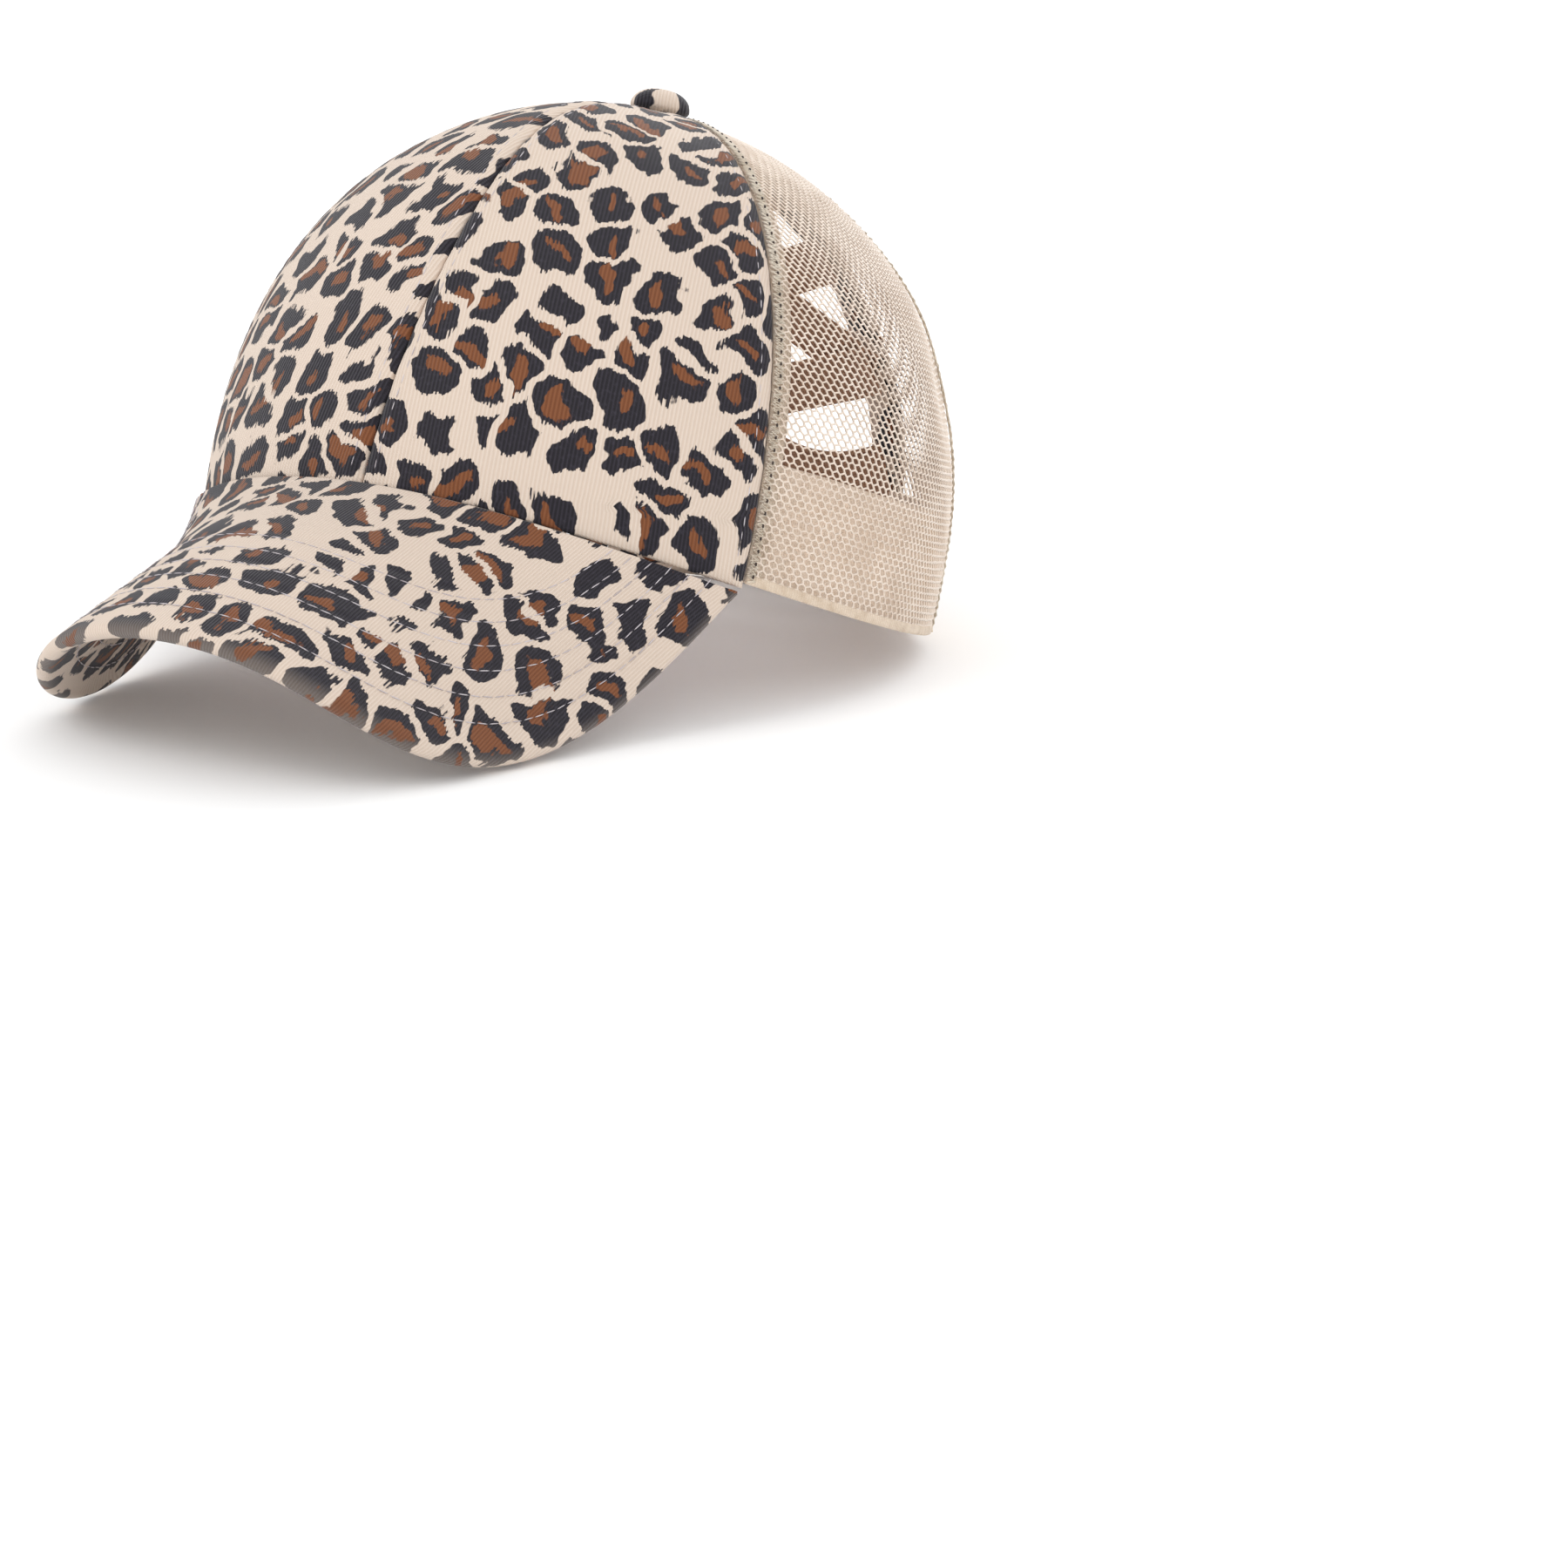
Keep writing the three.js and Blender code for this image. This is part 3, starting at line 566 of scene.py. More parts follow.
class Finish:
    """A material under construction, with short ways to add its nodes."""

    def __init__(self, name, roughness, sheen=0.3):
        self.material = bpy.data.materials.new(name)
        self.material.use_nodes = True
        self.tree = self.material.node_tree
        self.shader = self.tree.nodes["Principled BSDF"]
        self.shader.inputs["Roughness"].default_value = roughness
        self.shader.inputs["Sheen Weight"].default_value = sheen
        self.shader.inputs["Sheen Roughness"].default_value = 0.5
        self.shader.inputs["Specular IOR Level"].default_value = 0.25

    def put(self, socket, value):
        """Links a socket to another, or sets it to a plain value."""
        if isinstance(value, bpy.types.NodeSocket):
            self.tree.links.new(value, socket)
        else:
            socket.default_value = value

    def node(self, kind, settings=(), **inputs):
        """A new node with its settings, and its inputs linked or set by their labels."""
        node = self.tree.nodes.new(kind)
        for label, value in dict(settings).items():
            setattr(node, label, value)
        for label, value in inputs.items():
            self.put(node.inputs[label.replace("_", " ")], value)
        return node

    def math(self, operation, first, second=0.0, third=0.0):
        node = self.node("ShaderNodeMath", {"operation": operation})
        for socket, value in zip(node.inputs, (first, second, third)):
            self.put(socket, value)
        return node.outputs[0]

    def times(self, first, second):
        return self.math("MULTIPLY", first, second)

    def minus(self, first, second):
        return self.math("SUBTRACT", first, second)

    def scaled(self, value, scale, start):
        """start, plus a value times a scale."""
        return self.math("MULTIPLY_ADD", value, scale, start)

    def vector(self, operation, first, second=(0, 0, 0), scale=1.0):
        node = self.node("ShaderNodeVectorMath", {"operation": operation})
        self.put(node.inputs[0], first)
        if operation == "SCALE":
            self.put(node.inputs["Scale"], scale)
        else:
            self.put(node.inputs[1], second)
        return node

    def step(self, value, low, high):
        """0 below low, 1 above high, smooth between them."""
        node = self.node(
            "ShaderNodeMapRange", {"interpolation_type": "SMOOTHSTEP"},
            Value=value, From_Min=low, From_Max=high,
        )
        return node.outputs["Result"]

    def mix(self, share, first, second):
        """A colour between two, at a share of the way."""
        node = self.node("ShaderNodeMix", {"data_type": "RGBA"})
        self.put(node.inputs["Factor"], share)
        self.put(node.inputs[6], first)
        self.put(node.inputs[7], second)
        return node.outputs[2]

    def noise(self, place, scale, detail=2.0):
        return self.node("ShaderNodeTexNoise", Vector=place, Scale=scale, Detail=detail).outputs["Fac"]

    def wander(self, place, scale, reach):
        """Uneven shifts of a place, up to half the reach each way."""
        colour = self.node(
            "ShaderNodeTexNoise", {"noise_dimensions": "2D"}, Vector=place, Scale=scale, Detail=1.0,
        ).outputs["Color"]
        centred = self.vector("SUBTRACT", colour, (0.5, 0.5, 0.5)).outputs[0]
        return self.vector("MULTIPLY", centred, (reach * 2, reach * 2, 0)).outputs[0]

    def cloth_place(self):
        """Place on the flat cloth in millimetres, across and along."""
        flat = self.node("ShaderNodeUVMap", {"uv_map": "cloth"}).outputs["UV"]
        return self.vector("SCALE", flat, scale=1000.0).outputs[0]

    def object_place(self):
        """Place on the object in millimetres."""
        place = self.node("ShaderNodeTexCoord").outputs["Object"]
        return self.vector("SCALE", place, scale=1000.0).outputs[0]

    def wave(self, value, pitch):
        """A sine of a length in millimetres, from 0 to 1."""
        turned = self.math("SINE", self.times(value, TAU / pitch))
        return self.scaled(turned, 0.5, 0.5)

    def bump(self, height, depth):
        """Bumps of a depth in metres for heights from 0 to 1."""
        node = self.node("ShaderNodeBump", Height=height, Distance=depth, Strength=1.0)
        self.put(self.shader.inputs["Normal"], node.outputs["Normal"])

    def paint(self, colour):
        self.put(self.shader.inputs["Base Color"], colour)
        return self.material


# A spot of the print, as shares of the spot pitch
SPOT_MARGIN = 0.088
SPOT_MARGIN_SPREAD = 0.14
SPOT_REACH = 0.46
SPOT_REACH_SPREAD = 0.14
SPOT_BLEND = 0.12
SPOT_UNEVENNESS = 0.1
SPOT_EDGE = 0.012
MIDDLE_RADIUS = 0.105
MIDDLE_RADIUS_SPREAD = 0.08
MIDDLE_UNEVENNESS = 0.16
MIDDLE_SQUEEZE = 0.38
MIDDLE_SQUEEZE_SPREAD = 0.5
MIDDLE_SHIFT = 0.12
SPOTS_WITH_MIDDLE = 0.86

# Painted shade in the rib grooves, painted highlight on the rib crests and wear of the print, as shares of
# the other colour that shows
GROOVE_SHADE = 0.5
MOTTLE_SHADE = 0.16
RIB_HIGHLIGHT = 0.42
MOTTLE_WEAR = 0.5
MIDDLE_HIGHLIGHT = 0.6
EDGE_WEAR = 0.22
RIB_DEPTH = 0.16 * MM


def thread_places(cloth, settings, place, rib_turn):
    """Place across and along the threads, and the place in the print, whose threads slide a little."""
    parts = cloth.node("ShaderNodeSeparateXYZ", Vector=place)
    cos, sin = math.cos(rib_turn), math.sin(rib_turn)
    across = cloth.scaled(parts.outputs["X"], cos, cloth.times(parts.outputs["Y"], sin))
    along = cloth.scaled(parts.outputs["Y"], cos, cloth.times(parts.outputs["X"], -sin))
    thread_number = cloth.math("FLOOR", cloth.math("DIVIDE", across, settings.thread_pitch / MM))
    slide = cloth.node("ShaderNodeTexWhiteNoise", {"noise_dimensions": "1D"}, W=thread_number)
    frayed = cloth.scaled(slide.outputs["Value"], settings.fraying / MM, along)
    threads = cloth.node("ShaderNodeCombineXYZ", X=across, Y=frayed).outputs[0]
    fine = cloth.wander(place, 0.16, 2.4)
    broad = cloth.wander(place, 0.045, 6)
    moved = cloth.vector("ADD", cloth.vector("ADD", fine, broad).outputs[0], threads).outputs[0]
    return across, along, cloth.vector("SCALE", moved, scale=MM / settings.spot_pitch).outputs[0]


def spot_middle(cloth, away, chance, uneven):
    """Depth inside the brown middle, which is longer one way and lies off the spot's centre."""
    turn = cloth.times(chance[2], TAU * 3)
    cosine, sine = cloth.math("COSINE", turn), cloth.math("SINE", turn)
    facing = cloth.node("ShaderNodeCombineXYZ", X=cosine, Y=sine).outputs[0]
    aside = cloth.node("ShaderNodeCombineXYZ", X=cloth.times(sine, -1.0), Y=cosine).outputs[0]
    long_way = cloth.vector("DOT_PRODUCT", away, facing).outputs["Value"]
    short_way = cloth.vector("DOT_PRODUCT", away, aside).outputs["Value"]
    off_centre = cloth.scaled(chance[1], 2 * MIDDLE_SHIFT, -MIDDLE_SHIFT)
    squeeze = cloth.scaled(chance[0], MIDDLE_SQUEEZE_SPREAD, MIDDLE_SQUEEZE)
    long_way = cloth.times(cloth.minus(long_way, off_centre), squeeze)
    flat = cloth.node("ShaderNodeCombineXYZ", X=long_way, Y=short_way).outputs[0]
    apart = cloth.vector("LENGTH", flat).outputs["Value"]
    luck = cloth.math("FRACT", cloth.times(chance[2], 7.0))
    radius = cloth.scaled(luck, MIDDLE_RADIUS_SPREAD, MIDDLE_RADIUS)
    return cloth.minus(cloth.scaled(uneven, MIDDLE_UNEVENNESS, radius), apart)


def printed_cotton(name, settings, shift, rib_turn, rib_pitch, fade=False):
    """Cream twill with faded dark spots that have brown middles and frayed ends."""
    cloth = Finish(name, 0.88, 0.2)
    place = cloth.vector("ADD", cloth.cloth_place(), (*shift, 0)).outputs[0]
    across, along, spotted = thread_places(cloth, settings, place, rib_turn)
    cells, edges = (
        cloth.node(
            "ShaderNodeTexVoronoi", {"voronoi_dimensions": "2D", "feature": feature},
            Vector=spotted, Scale=1.0, Randomness=settings.scatter,
        )
        for feature in ("F1", "DISTANCE_TO_EDGE")
    )
    chance = cloth.node("ShaderNodeSeparateColor", Color=cells.outputs["Color"]).outputs

    # The spot fills its cell but for a channel, and a few spots are small
    margin = cloth.scaled(cloth.math("POWER", chance[0], 5.0), SPOT_MARGIN_SPREAD, SPOT_MARGIN)
    reach = cloth.scaled(chance[1], SPOT_REACH_SPREAD, SPOT_REACH)
    body = cloth.math(
        "SMOOTH_MIN",
        cloth.minus(edges.outputs["Distance"], margin),
        cloth.minus(reach, cells.outputs["Distance"]),
        SPOT_BLEND,
    )
    uneven = cloth.minus(cloth.noise(place, 0.5), 0.5)
    body = cloth.scaled(uneven, SPOT_UNEVENNESS, body)
    dark = cloth.step(body, -SPOT_EDGE, SPOT_EDGE)

    # In some spots the middle reaches the cream, and a few spots have none
    away = cloth.vector("SUBTRACT", spotted, cells.outputs["Position"]).outputs[0]
    core = cloth.step(spot_middle(cloth, away, chance, uneven), -SPOT_EDGE, 0.015)
    core = cloth.times(core, cloth.step(body, -0.02, 0.02))
    core = cloth.times(core, cloth.math("LESS_THAN", chance[0], SPOTS_WITH_MIDDLE))

    # Ribs, with painted shade in their grooves and painted highlight on their crests, and wear
    ribs = cloth.wave(across, rib_pitch)
    mottle = cloth.noise(place, 0.9, 3.0)
    # Painted shade: the cream darkens in the rib grooves
    cream = cloth.mix(cloth.times(ribs, GROOVE_SHADE), settings.cream, settings.cream_groove)
    cream = cloth.mix(cloth.times(mottle, MOTTLE_SHADE), cream, settings.cream_groove)
    crest = cloth.minus(1.0, ribs)
    # Painted highlight: the dark ink is paler on the rib crests
    rib_highlight = cloth.times(cloth.math("POWER", crest, 2.0), RIB_HIGHLIGHT)
    ink = cloth.mix(rib_highlight, settings.dark, settings.dark_worn_and_highlit)
    ink = cloth.mix(cloth.times(cloth.step(mottle, 0.5, 0.8), MOTTLE_WEAR), ink, settings.dark_worn_and_highlit)
    # Painted highlight: the brown middle is paler on the rib crests
    brown = cloth.mix(cloth.times(crest, MIDDLE_HIGHLIGHT), settings.brown, settings.brown_highlight)
    if fade:
        worn = cloth.node("ShaderNodeAttribute", {"attribute_name": "worn"}).outputs["Fac"]
        kept = cloth.minus(1.0, cloth.times(worn, EDGE_WEAR))
        dark = cloth.times(dark, kept)
        core = cloth.times(core, kept)
    colour = cloth.mix(core, cloth.mix(dark, cream, ink), brown)
    weave = cloth.wave(cloth.scaled(across, 0.5, along), rib_pitch * 0.55)
    cloth.bump(cloth.scaled(ribs, -0.7, cloth.times(weave, 0.25)), RIB_DEPTH)
    return cloth.paint(colour)


def plain_cloth(name, colour, shadow, rib_pitch, depth):
    """Plain woven cloth with fine ribs along its length and an uneven tone."""
    cloth = Finish(name, 0.9, 0.3)
    place = cloth.cloth_place()
    parts = cloth.node("ShaderNodeSeparateXYZ", Vector=place)
    ribs = cloth.wave(parts.outputs["X"], rib_pitch)
    weft = cloth.wave(parts.outputs["Y"], rib_pitch * 0.7)
    mottle = cloth.noise(place, 0.35, 4.0)
    # Painted shade: the grooves between the ribs darken toward the shadow colour
    colour = cloth.mix(cloth.times(ribs, 0.3), colour, shadow)
    colour = cloth.mix(cloth.step(mottle, 0.35, 0.8), colour, shadow)
    cloth.bump(cloth.scaled(weft, 0.5, ribs), depth)
    return cloth.paint(colour)


# Millimetres from the middle of an elastic's groove at which its painted shade fades out and its cord
# begins
GROOVE_FADE = (0.42, 0.12)
CORD_FADE = (0.3, 0.5)
CORD_COLOUR = srgb(226, 184, 148)


def elastic_cloth(name, colour, shadow, pitch, groove_place):
    """Ribbed elastic whose fine cross ribs are split by long grooves."""
    cloth = Finish(name, 0.62, 0.3)
    place = cloth.cloth_place()
    parts = cloth.node("ShaderNodeSeparateXYZ", Vector=place)
    ribs = cloth.wave(parts.outputs["Y"], pitch)
    rows = cloth.wave(parts.outputs["X"], pitch * 1.1)
    mottle = cloth.noise(place, 0.5, 3.0)
    # Painted shade: the grooves between the ribs and rows, and the long grooves, darken toward the shadow
    # colour
    tone = cloth.mix(cloth.times(ribs, 0.75), colour, shadow)
    tone = cloth.mix(cloth.times(rows, 0.3), tone, shadow)
    tone = cloth.mix(cloth.times(mottle, 0.2), tone, shadow)
    from_groove = cloth.minus(cloth.math("ABSOLUTE", parts.outputs["X"]), groove_place)
    groove = cloth.step(cloth.math("ABSOLUTE", from_groove), *GROOVE_FADE)
    cord = cloth.step(from_groove, *CORD_FADE)
    tone = cloth.mix(cloth.times(groove, 0.75), tone, shadow)
    tone = cloth.mix(cloth.times(cord, 0.15), tone, CORD_COLOUR)
    cloth.bump(cloth.scaled(rows, -0.35, cloth.times(ribs, -0.7)), 0.12 * MM)
    return cloth.paint(tone)


def yarn_finish(name, colour, shadow, roughness, sheen):
    """Shiny twisted yarn."""
    yarn = Finish(name, roughness, sheen)
    yarn.shader.inputs["Specular IOR Level"].default_value = 0.45
    place = yarn.object_place()
    twist = yarn.noise(place, 3.2, 2.0)
    tone = yarn.noise(place, 0.09, 2.0)
    mixed = yarn.mix(yarn.step(tone, 0.3, 0.75), colour, shadow)
    mixed = yarn.mix(yarn.times(twist, 0.35), mixed, shadow)
    yarn.bump(twist, 0.08 * MM)
    return yarn.paint(mixed)


def stage_finish(colour):
    stage = Finish("stage_paint", 0.9, 0.0)
    place = stage.object_place()
    tone = stage.noise(place, 0.004, 2.0)
    return stage.paint(stage.mix(stage.times(tone, 0.03), colour, (0.9, 0.9, 0.9, 1)))


PLAIN_COLUMNS = ("light", "shade", "rib_mm", "weave_mm")
PLAIN_CLOTHS = {
    "lilac_lining": ((218, 198, 220), (200, 178, 202), 0.5, 0.06),
    "hem_cloth": ((222, 204, 184), (196, 174, 150), 0.7, 0.1),
    "fold_cloth": ((234, 219, 201), (206, 186, 164), 0.75, 0.14),
    "taupe_tape": ((242, 228, 206), (222, 206, 182), 0.6, 0.08),
    "cream_tape": ((236, 221, 202), (214, 195, 172), 0.6, 0.08),
    "sweatband_cloth": ((246, 229, 212), (226, 206, 186), 0.8, 0.1),
    "peach_tape": ((228, 198, 170), (196, 160, 130), 0.9, 0.14),
    "peach_cotton": ((226, 200, 174), (200, 170, 142), 0.6, 0.08),
}
THREAD_COLUMNS = ("light", "shade", "roughness", "sheen")
THREADS = {
    "stitch_thread": ((208, 202, 206), (172, 162, 166), 0.5, 0.2),
    # Painted shade: the needle holes are dark marks that stand for the shade inside each hole
    "needle_hole_shade": ((72, 58, 50), (44, 36, 36), 0.8, 0.0),
    "cream_thread": ((238, 226, 208), (205, 188, 165), 0.5, 0.3),
    "frayed_thread": ((196, 186, 172), (140, 130, 120), 0.7, 0.2),
}
MATERIALS = {}


def material(name, make, *values):
    """The finish of that name, made when it is first asked for."""
    if name not in MATERIALS:
        MATERIALS[name] = make(name, *values)
    return MATERIALS[name]


def cotton(name, shift, rib_turn=0.0, rib_pitch=0.95, fade=False):
    settings = bpy.context.scene.cap_print
    return material(name, printed_cotton, settings, shift, rib_turn, rib_pitch, fade)


def net_yarn():
    settings = bpy.context.scene.cap_net
    return material("net_yarn", yarn_finish, settings.light, settings.shade, 0.45, 0.35)


def thread(name):
    """A thread's finish, by its name in the table."""
    row = dict(zip(THREAD_COLUMNS, THREADS[name]))
    return material(
        name, yarn_finish, srgb(*row["light"]), srgb(*row["shade"]), row["roughness"], row["sheen"])


def plain(name):
    """A plain cloth's finish, by its name in the table."""
    row = dict(zip(PLAIN_COLUMNS, PLAIN_CLOTHS[name]))
    return material(
        name, plain_cloth, srgb(*row["light"]), srgb(*row["shade"]), row["rib_mm"], row["weave_mm"] * MM)


# Settings

def colour_setting(name, description, *values):
    return FloatVectorProperty(
        name=name, description=description, subtype="COLOR", size=4, min=0, max=1, default=srgb(*values))


def length_setting(name, description, default):
    return FloatProperty(name=name, description=description, unit="LENGTH", default=default)


class PrintSettings(bpy.types.PropertyGroup):
    """Colours and sizes of the spotted print."""

    cream: colour_setting("Cream", "Ground of the print", 222, 206, 192)
    # Painted shade: the cream groove colour darkens the ground between two ribs, and is also the darker
    # mottle of the ground
    cream_groove: colour_setting("Cream groove", "Ground between two ribs", 198, 176, 156)
    dark: colour_setting("Dark", "Outer part of a spot", 30, 27, 33)
    # The worn dark is painted highlight on the rib crests and worn print in patches
    dark_worn_and_highlit: colour_setting("Worn dark", "Outer part of a spot on a rib", 66, 62, 73)
    brown: colour_setting("Brown", "Middle of a spot", 112, 64, 36)
    # The worn brown is painted highlight on the rib crests
    brown_highlight: colour_setting("Worn brown", "Middle of a spot on a rib", 142, 90, 58)
    spot_pitch: length_setting("Spot pitch", "Mean distance between spots", 11.6 * MM)
    scatter: FloatProperty(
        name="Scatter", description="How unevenly the spots lie", subtype="FACTOR", min=0, max=1,
        default=0.82)
    thread_pitch: length_setting("Thread pitch", "Width of one frayed thread", 0.42 * MM)
    fraying: length_setting("Fraying", "Length of the frayed ends of a spot", 1.1 * MM)


class NetSettings(bpy.types.PropertyGroup):
    """Sizes and colours of the knitted net."""

    pitch: length_setting("Hole pitch", "Distance between two holes of a row", 1.9 * MM)
    yarn_radius: length_setting("Yarn radius", "Half the yarn's width", 0.26 * MM)
    sides: IntProperty(name="Sides", description="Sides of the yarn's section", default=5, min=3)
    light: colour_setting("Light", "Yarn in the light", 240, 225, 210)
    shade: colour_setting("Shade", "Darker yarn", 220, 201, 183)


class StitchSettings(bpy.types.PropertyGroup):
    """Sizes of the stitching."""

    pitch: length_setting("Stitch pitch", "From one stitch to the next", 3.2 * MM)
    length: length_setting("Stitch length", "Length of one stitch", 3.0 * MM)
    radius: length_setting("Thread radius", "Half the thread's width", 0.14 * MM)
    row_gap: length_setting("Row gap", "Between two rows on the brim", 6.4 * MM)
    rows: IntProperty(name="Rows", description="Rows of stitches on the brim", default=6, min=1)


class StageSettings(bpy.types.PropertyGroup):
    """Camera and light."""

    azimuth: FloatProperty(
        name="Azimuth", description="Camera's turn round the cap", subtype="ANGLE",
        default=math.radians(34.36))
    elevation: FloatProperty(
        name="Elevation", description="Camera's height above the horizon", subtype="ANGLE",
        default=math.radians(13.16))
    distance: length_setting("Distance", "From the camera to the aim point", 1.296)
    paper: FloatVectorProperty(
        name="Paper", description="Colour of the floor", subtype="COLOR", size=4, min=0, max=1,
        default=(0.985, 0.985, 0.985, 1))


# Front panels

PANEL_COUNTS = (46, 96)
LINING_COUNTS = (30, 60)
PANEL_WIDTH = 95 * MM
PANEL_HEIGHT = 150 * MM
RIM_LAP = 1.3 * MM
SEAM_GROOVE = 0.55 * MM
SEAM_GROOVE_WIDTH = 0.9 * MM
SEAM_SWELL = 0.35 * MM
SEAM_SWELL_PLACE = 3.2 * MM
SEAM_SWELL_WIDTH = 2.2 * MM
PUCKER_DEPTH = 0.12 * MM
PUCKER_LENGTH = 1.15 * MM
PUCKER_DRIFT = 9 * MM
PUCKER_REACH = 4 * MM


def gore_place(start, end, middle_depth, sewn):
    """Place function of a gore between two bearings. sewn draws its side edges in at the seams."""
    below = RIM_LAP if sewn else 0

    def half_gap(bearing, along):
        share = share_at_length(bearing, along * cloth_length(bearing))
        return GAP / 2 / crown_frame(bearing, share)[0]

    def place(across, along, offset):
        low = start + half_gap(start, along)
        high = end - half_gap(end, along)
        bearing = lerp(low, high, across)
        length = lerp(-below, cloth_length(bearing), along)
        share = share_at_length(bearing, length)
        depth = middle_depth + offset
        if sewn:
            seam = np.minimum(bearing - low, high - bearing) * crown_frame(bearing, share)[0]
            groove = SEAM_GROOVE * np.exp(-(seam / SEAM_GROOVE_WIDTH) ** 2)
            swell = SEAM_SWELL * np.exp(-((seam - SEAM_SWELL_PLACE) / SEAM_SWELL_WIDTH) ** 2)
            pucker = np.sin(length / PUCKER_LENGTH + 3 * np.sin(length / PUCKER_DRIFT))
            pucker = pucker * PUCKER_DEPTH * np.exp(-seam / PUCKER_REACH)
            depth = depth + groove - swell + pucker
        return crown_at(bearing, share, depth)
    return place


def gore_flat(start, end):
    """Flat cloth of a gore: metres across from its middle and up from the rim."""
    def flat(across, along):
        bearing = lerp(start, end, across)
        length = along * cloth_length(bearing)
        around = crown_frame(bearing, share_at_length(bearing, length))[0]
        return np.stack([(bearing - (start + end) / 2) * around, length], axis=-1)
    return flat


def between(start, end, hand):
    """Two bearings of the left side, or the same two of the right side, the lower one first."""
    return (start, end) if hand > 0 else (-end, -start)


SIDES = (("left", 1), ("right", -1))


class CAP_OT_front_panels(bpy.types.Operator):
    """Build the two printed front panels"""

    bl_idname = "cap.front_panels"
    bl_label = "Front panels"

    def execute(self, context):
        for side, hand in SIDES:
            start, end = between(0, FRONT_SEAM, hand)
            panel = soft_plate(
                "front_cotton_" + side, PANEL_COUNTS, (PANEL_WIDTH, PANEL_HEIGHT), COTTON / 2,
                gore_place(start, end, COTTON / 2, True), gore_flat(start, end))
            finish = cotton("print_front_" + side, (61 * hand, 17 + 40 * hand))
            finish_piece(panel, finish, "printed_cotton", "front_panel_" + side)
        return {"FINISHED"}


class CAP_OT_lining(bpy.types.Operator):
    """Build the lining behind the front panels"""

    bl_idname = "cap.lining"
    bl_label = "Lining"

    def execute(self, context):
        finish = plain("lilac_lining")
        for side, hand in SIDES:
            start, end = between(0, FRONT_SEAM, hand)
            sheet = soft_plate(
                "lining_" + side, LINING_COUNTS, (PANEL_WIDTH, PANEL_HEIGHT), LINING / 2,
                gore_place(start, end, LINING_OUTER + LINING / 2, False), gore_flat(start, end))
            finish_piece(sheet, finish, "lining", "front_lining_" + side)
        return {"FINISHED"}


# Net

ARCH_RISE = OPENING_HEIGHT - OPENING_STRAIGHT
ARCH_RADIUS = (ARCH_RISE ** 2 + OPENING_HALF_WIDTH ** 2) / (2 * OPENING_HALF_WIDTH)
MIDDLE_GAP = 0.00015
ROW_GAP_SHARE = 1.38
LOOP_RISE = 0.16 * MM
NET_JITTER = 0.045 * MM
HEM_HEIGHT = 2.4 * MM
HEM_CLOTH = 1.1 * MM
HEM_START = FRONT_SEAM + 0.002


def arch_half_width(offset, length):
    """Half width of the opening's arch at lengths of cloth above the rim."""
    radius = ARCH_RADIUS + offset
    rise = np.clip(length - OPENING_STRAIGHT, 0, radius)
    arched = OPENING_HALF_WIDTH - ARCH_RADIUS + np.sqrt(radius ** 2 - rise ** 2)
    return np.maximum(arched, GAP / 2)


def net_limits(kind, length):
    """Lowest and highest bearing of a left net at lengths of cloth above the rim."""
    start = FRONT_SEAM if kind == "side" else REAR_SEAM
    low = start + GAP / crown_frame(start, share_at_length(start, length))[0]
    if kind == "side":
        high = REAR_SEAM - GAP / crown_frame(REAR_SEAM, share_at_length(REAR_SEAM, length))[0]
    else:
        rise = math.sqrt((ARCH_RADIUS - NET_TUCK) ** 2 - (ARCH_RADIUS - OPENING_HALF_WIDTH) ** 2)
        edge = rear_place(arch_half_width(-NET_TUCK, length), length)[0]
        high = np.where(length < OPENING_STRAIGHT + rise, edge, math.pi - MIDDLE_GAP)
    return low, high


def net_lines(kind, hand, pitch, seed):
    """Yarn lines of one net: zigzag rows that run round the crown and short posts between them."""
    side = pitch / math.sqrt(3)
    row_gap = ROW_GAP_SHARE * side
    middle = (FRONT_SEAM + REAR_SEAM) / 2 if kind == "side" else (REAR_SEAM + math.pi) / 2
    highest = float(cloth_length(middle))
    rows = np.arange(int(highest / row_gap))
    lengths = (rows + 0.5) * row_gap
    low, high = net_limits(kind, lengths)
    around = crown_frame(middle, share_at_length(middle, lengths))[0]
    lines = []
    posts = {}
    chance = np.random.default_rng(seed)
    for row, length in enumerate(lengths):
        first = math.ceil((low[row] - middle) * around[row] / (pitch / 2))
        last = math.floor((high[row] - middle) * around[row] / (pitch / 2))
        if last <= first:
            continue
        steps = np.arange(first, last + 1)
        upper = (steps + row) % 2 == 0
        heights = length + np.where(upper, side / 4, -side / 4)
        heights = heights + chance.normal(0, NET_JITTER, len(steps))
        aside = steps * (pitch / 2) + chance.normal(0, NET_JITTER, len(steps))
        bearings = middle + aside / around[row]
        bearings = np.concatenate([[low[row]], bearings, [high[row]]])
        heights = np.concatenate([[length], heights, [length]])
        sunk = NET / 2 + np.concatenate([[0], np.where(upper, -LOOP_RISE, LOOP_RISE), [0]])
        lines.append((bearings, heights, sunk))
        for place, step in enumerate(steps):
            loop = (bearings[place + 1], heights[place + 1], sunk[place + 1])
            posts[row, int(step)] = (upper[place], loop)
    for (row, step), (is_upper, loop) in posts.items():
        above = posts.get((row + 1, step))
        if is_upper and above:
            lines.append(tuple(np.array(pair) for pair in zip(loop, above[1])))
    bearings = np.concatenate([line[0] for line in lines])
    heights = np.clip(np.concatenate([line[1] for line in lines]), 0, cloth_length(bearings))
    share = share_at_length(bearings, heights)
    points = crown_at(hand * bearings, share, np.concatenate([line[2] for line in lines]))
    normals = crown_frame(hand * bearings, share)[2]
    ends = np.cumsum([len(line[0]) for line in lines])[:-1]
    return list(zip(np.split(points, ends), np.split(normals, ends)))


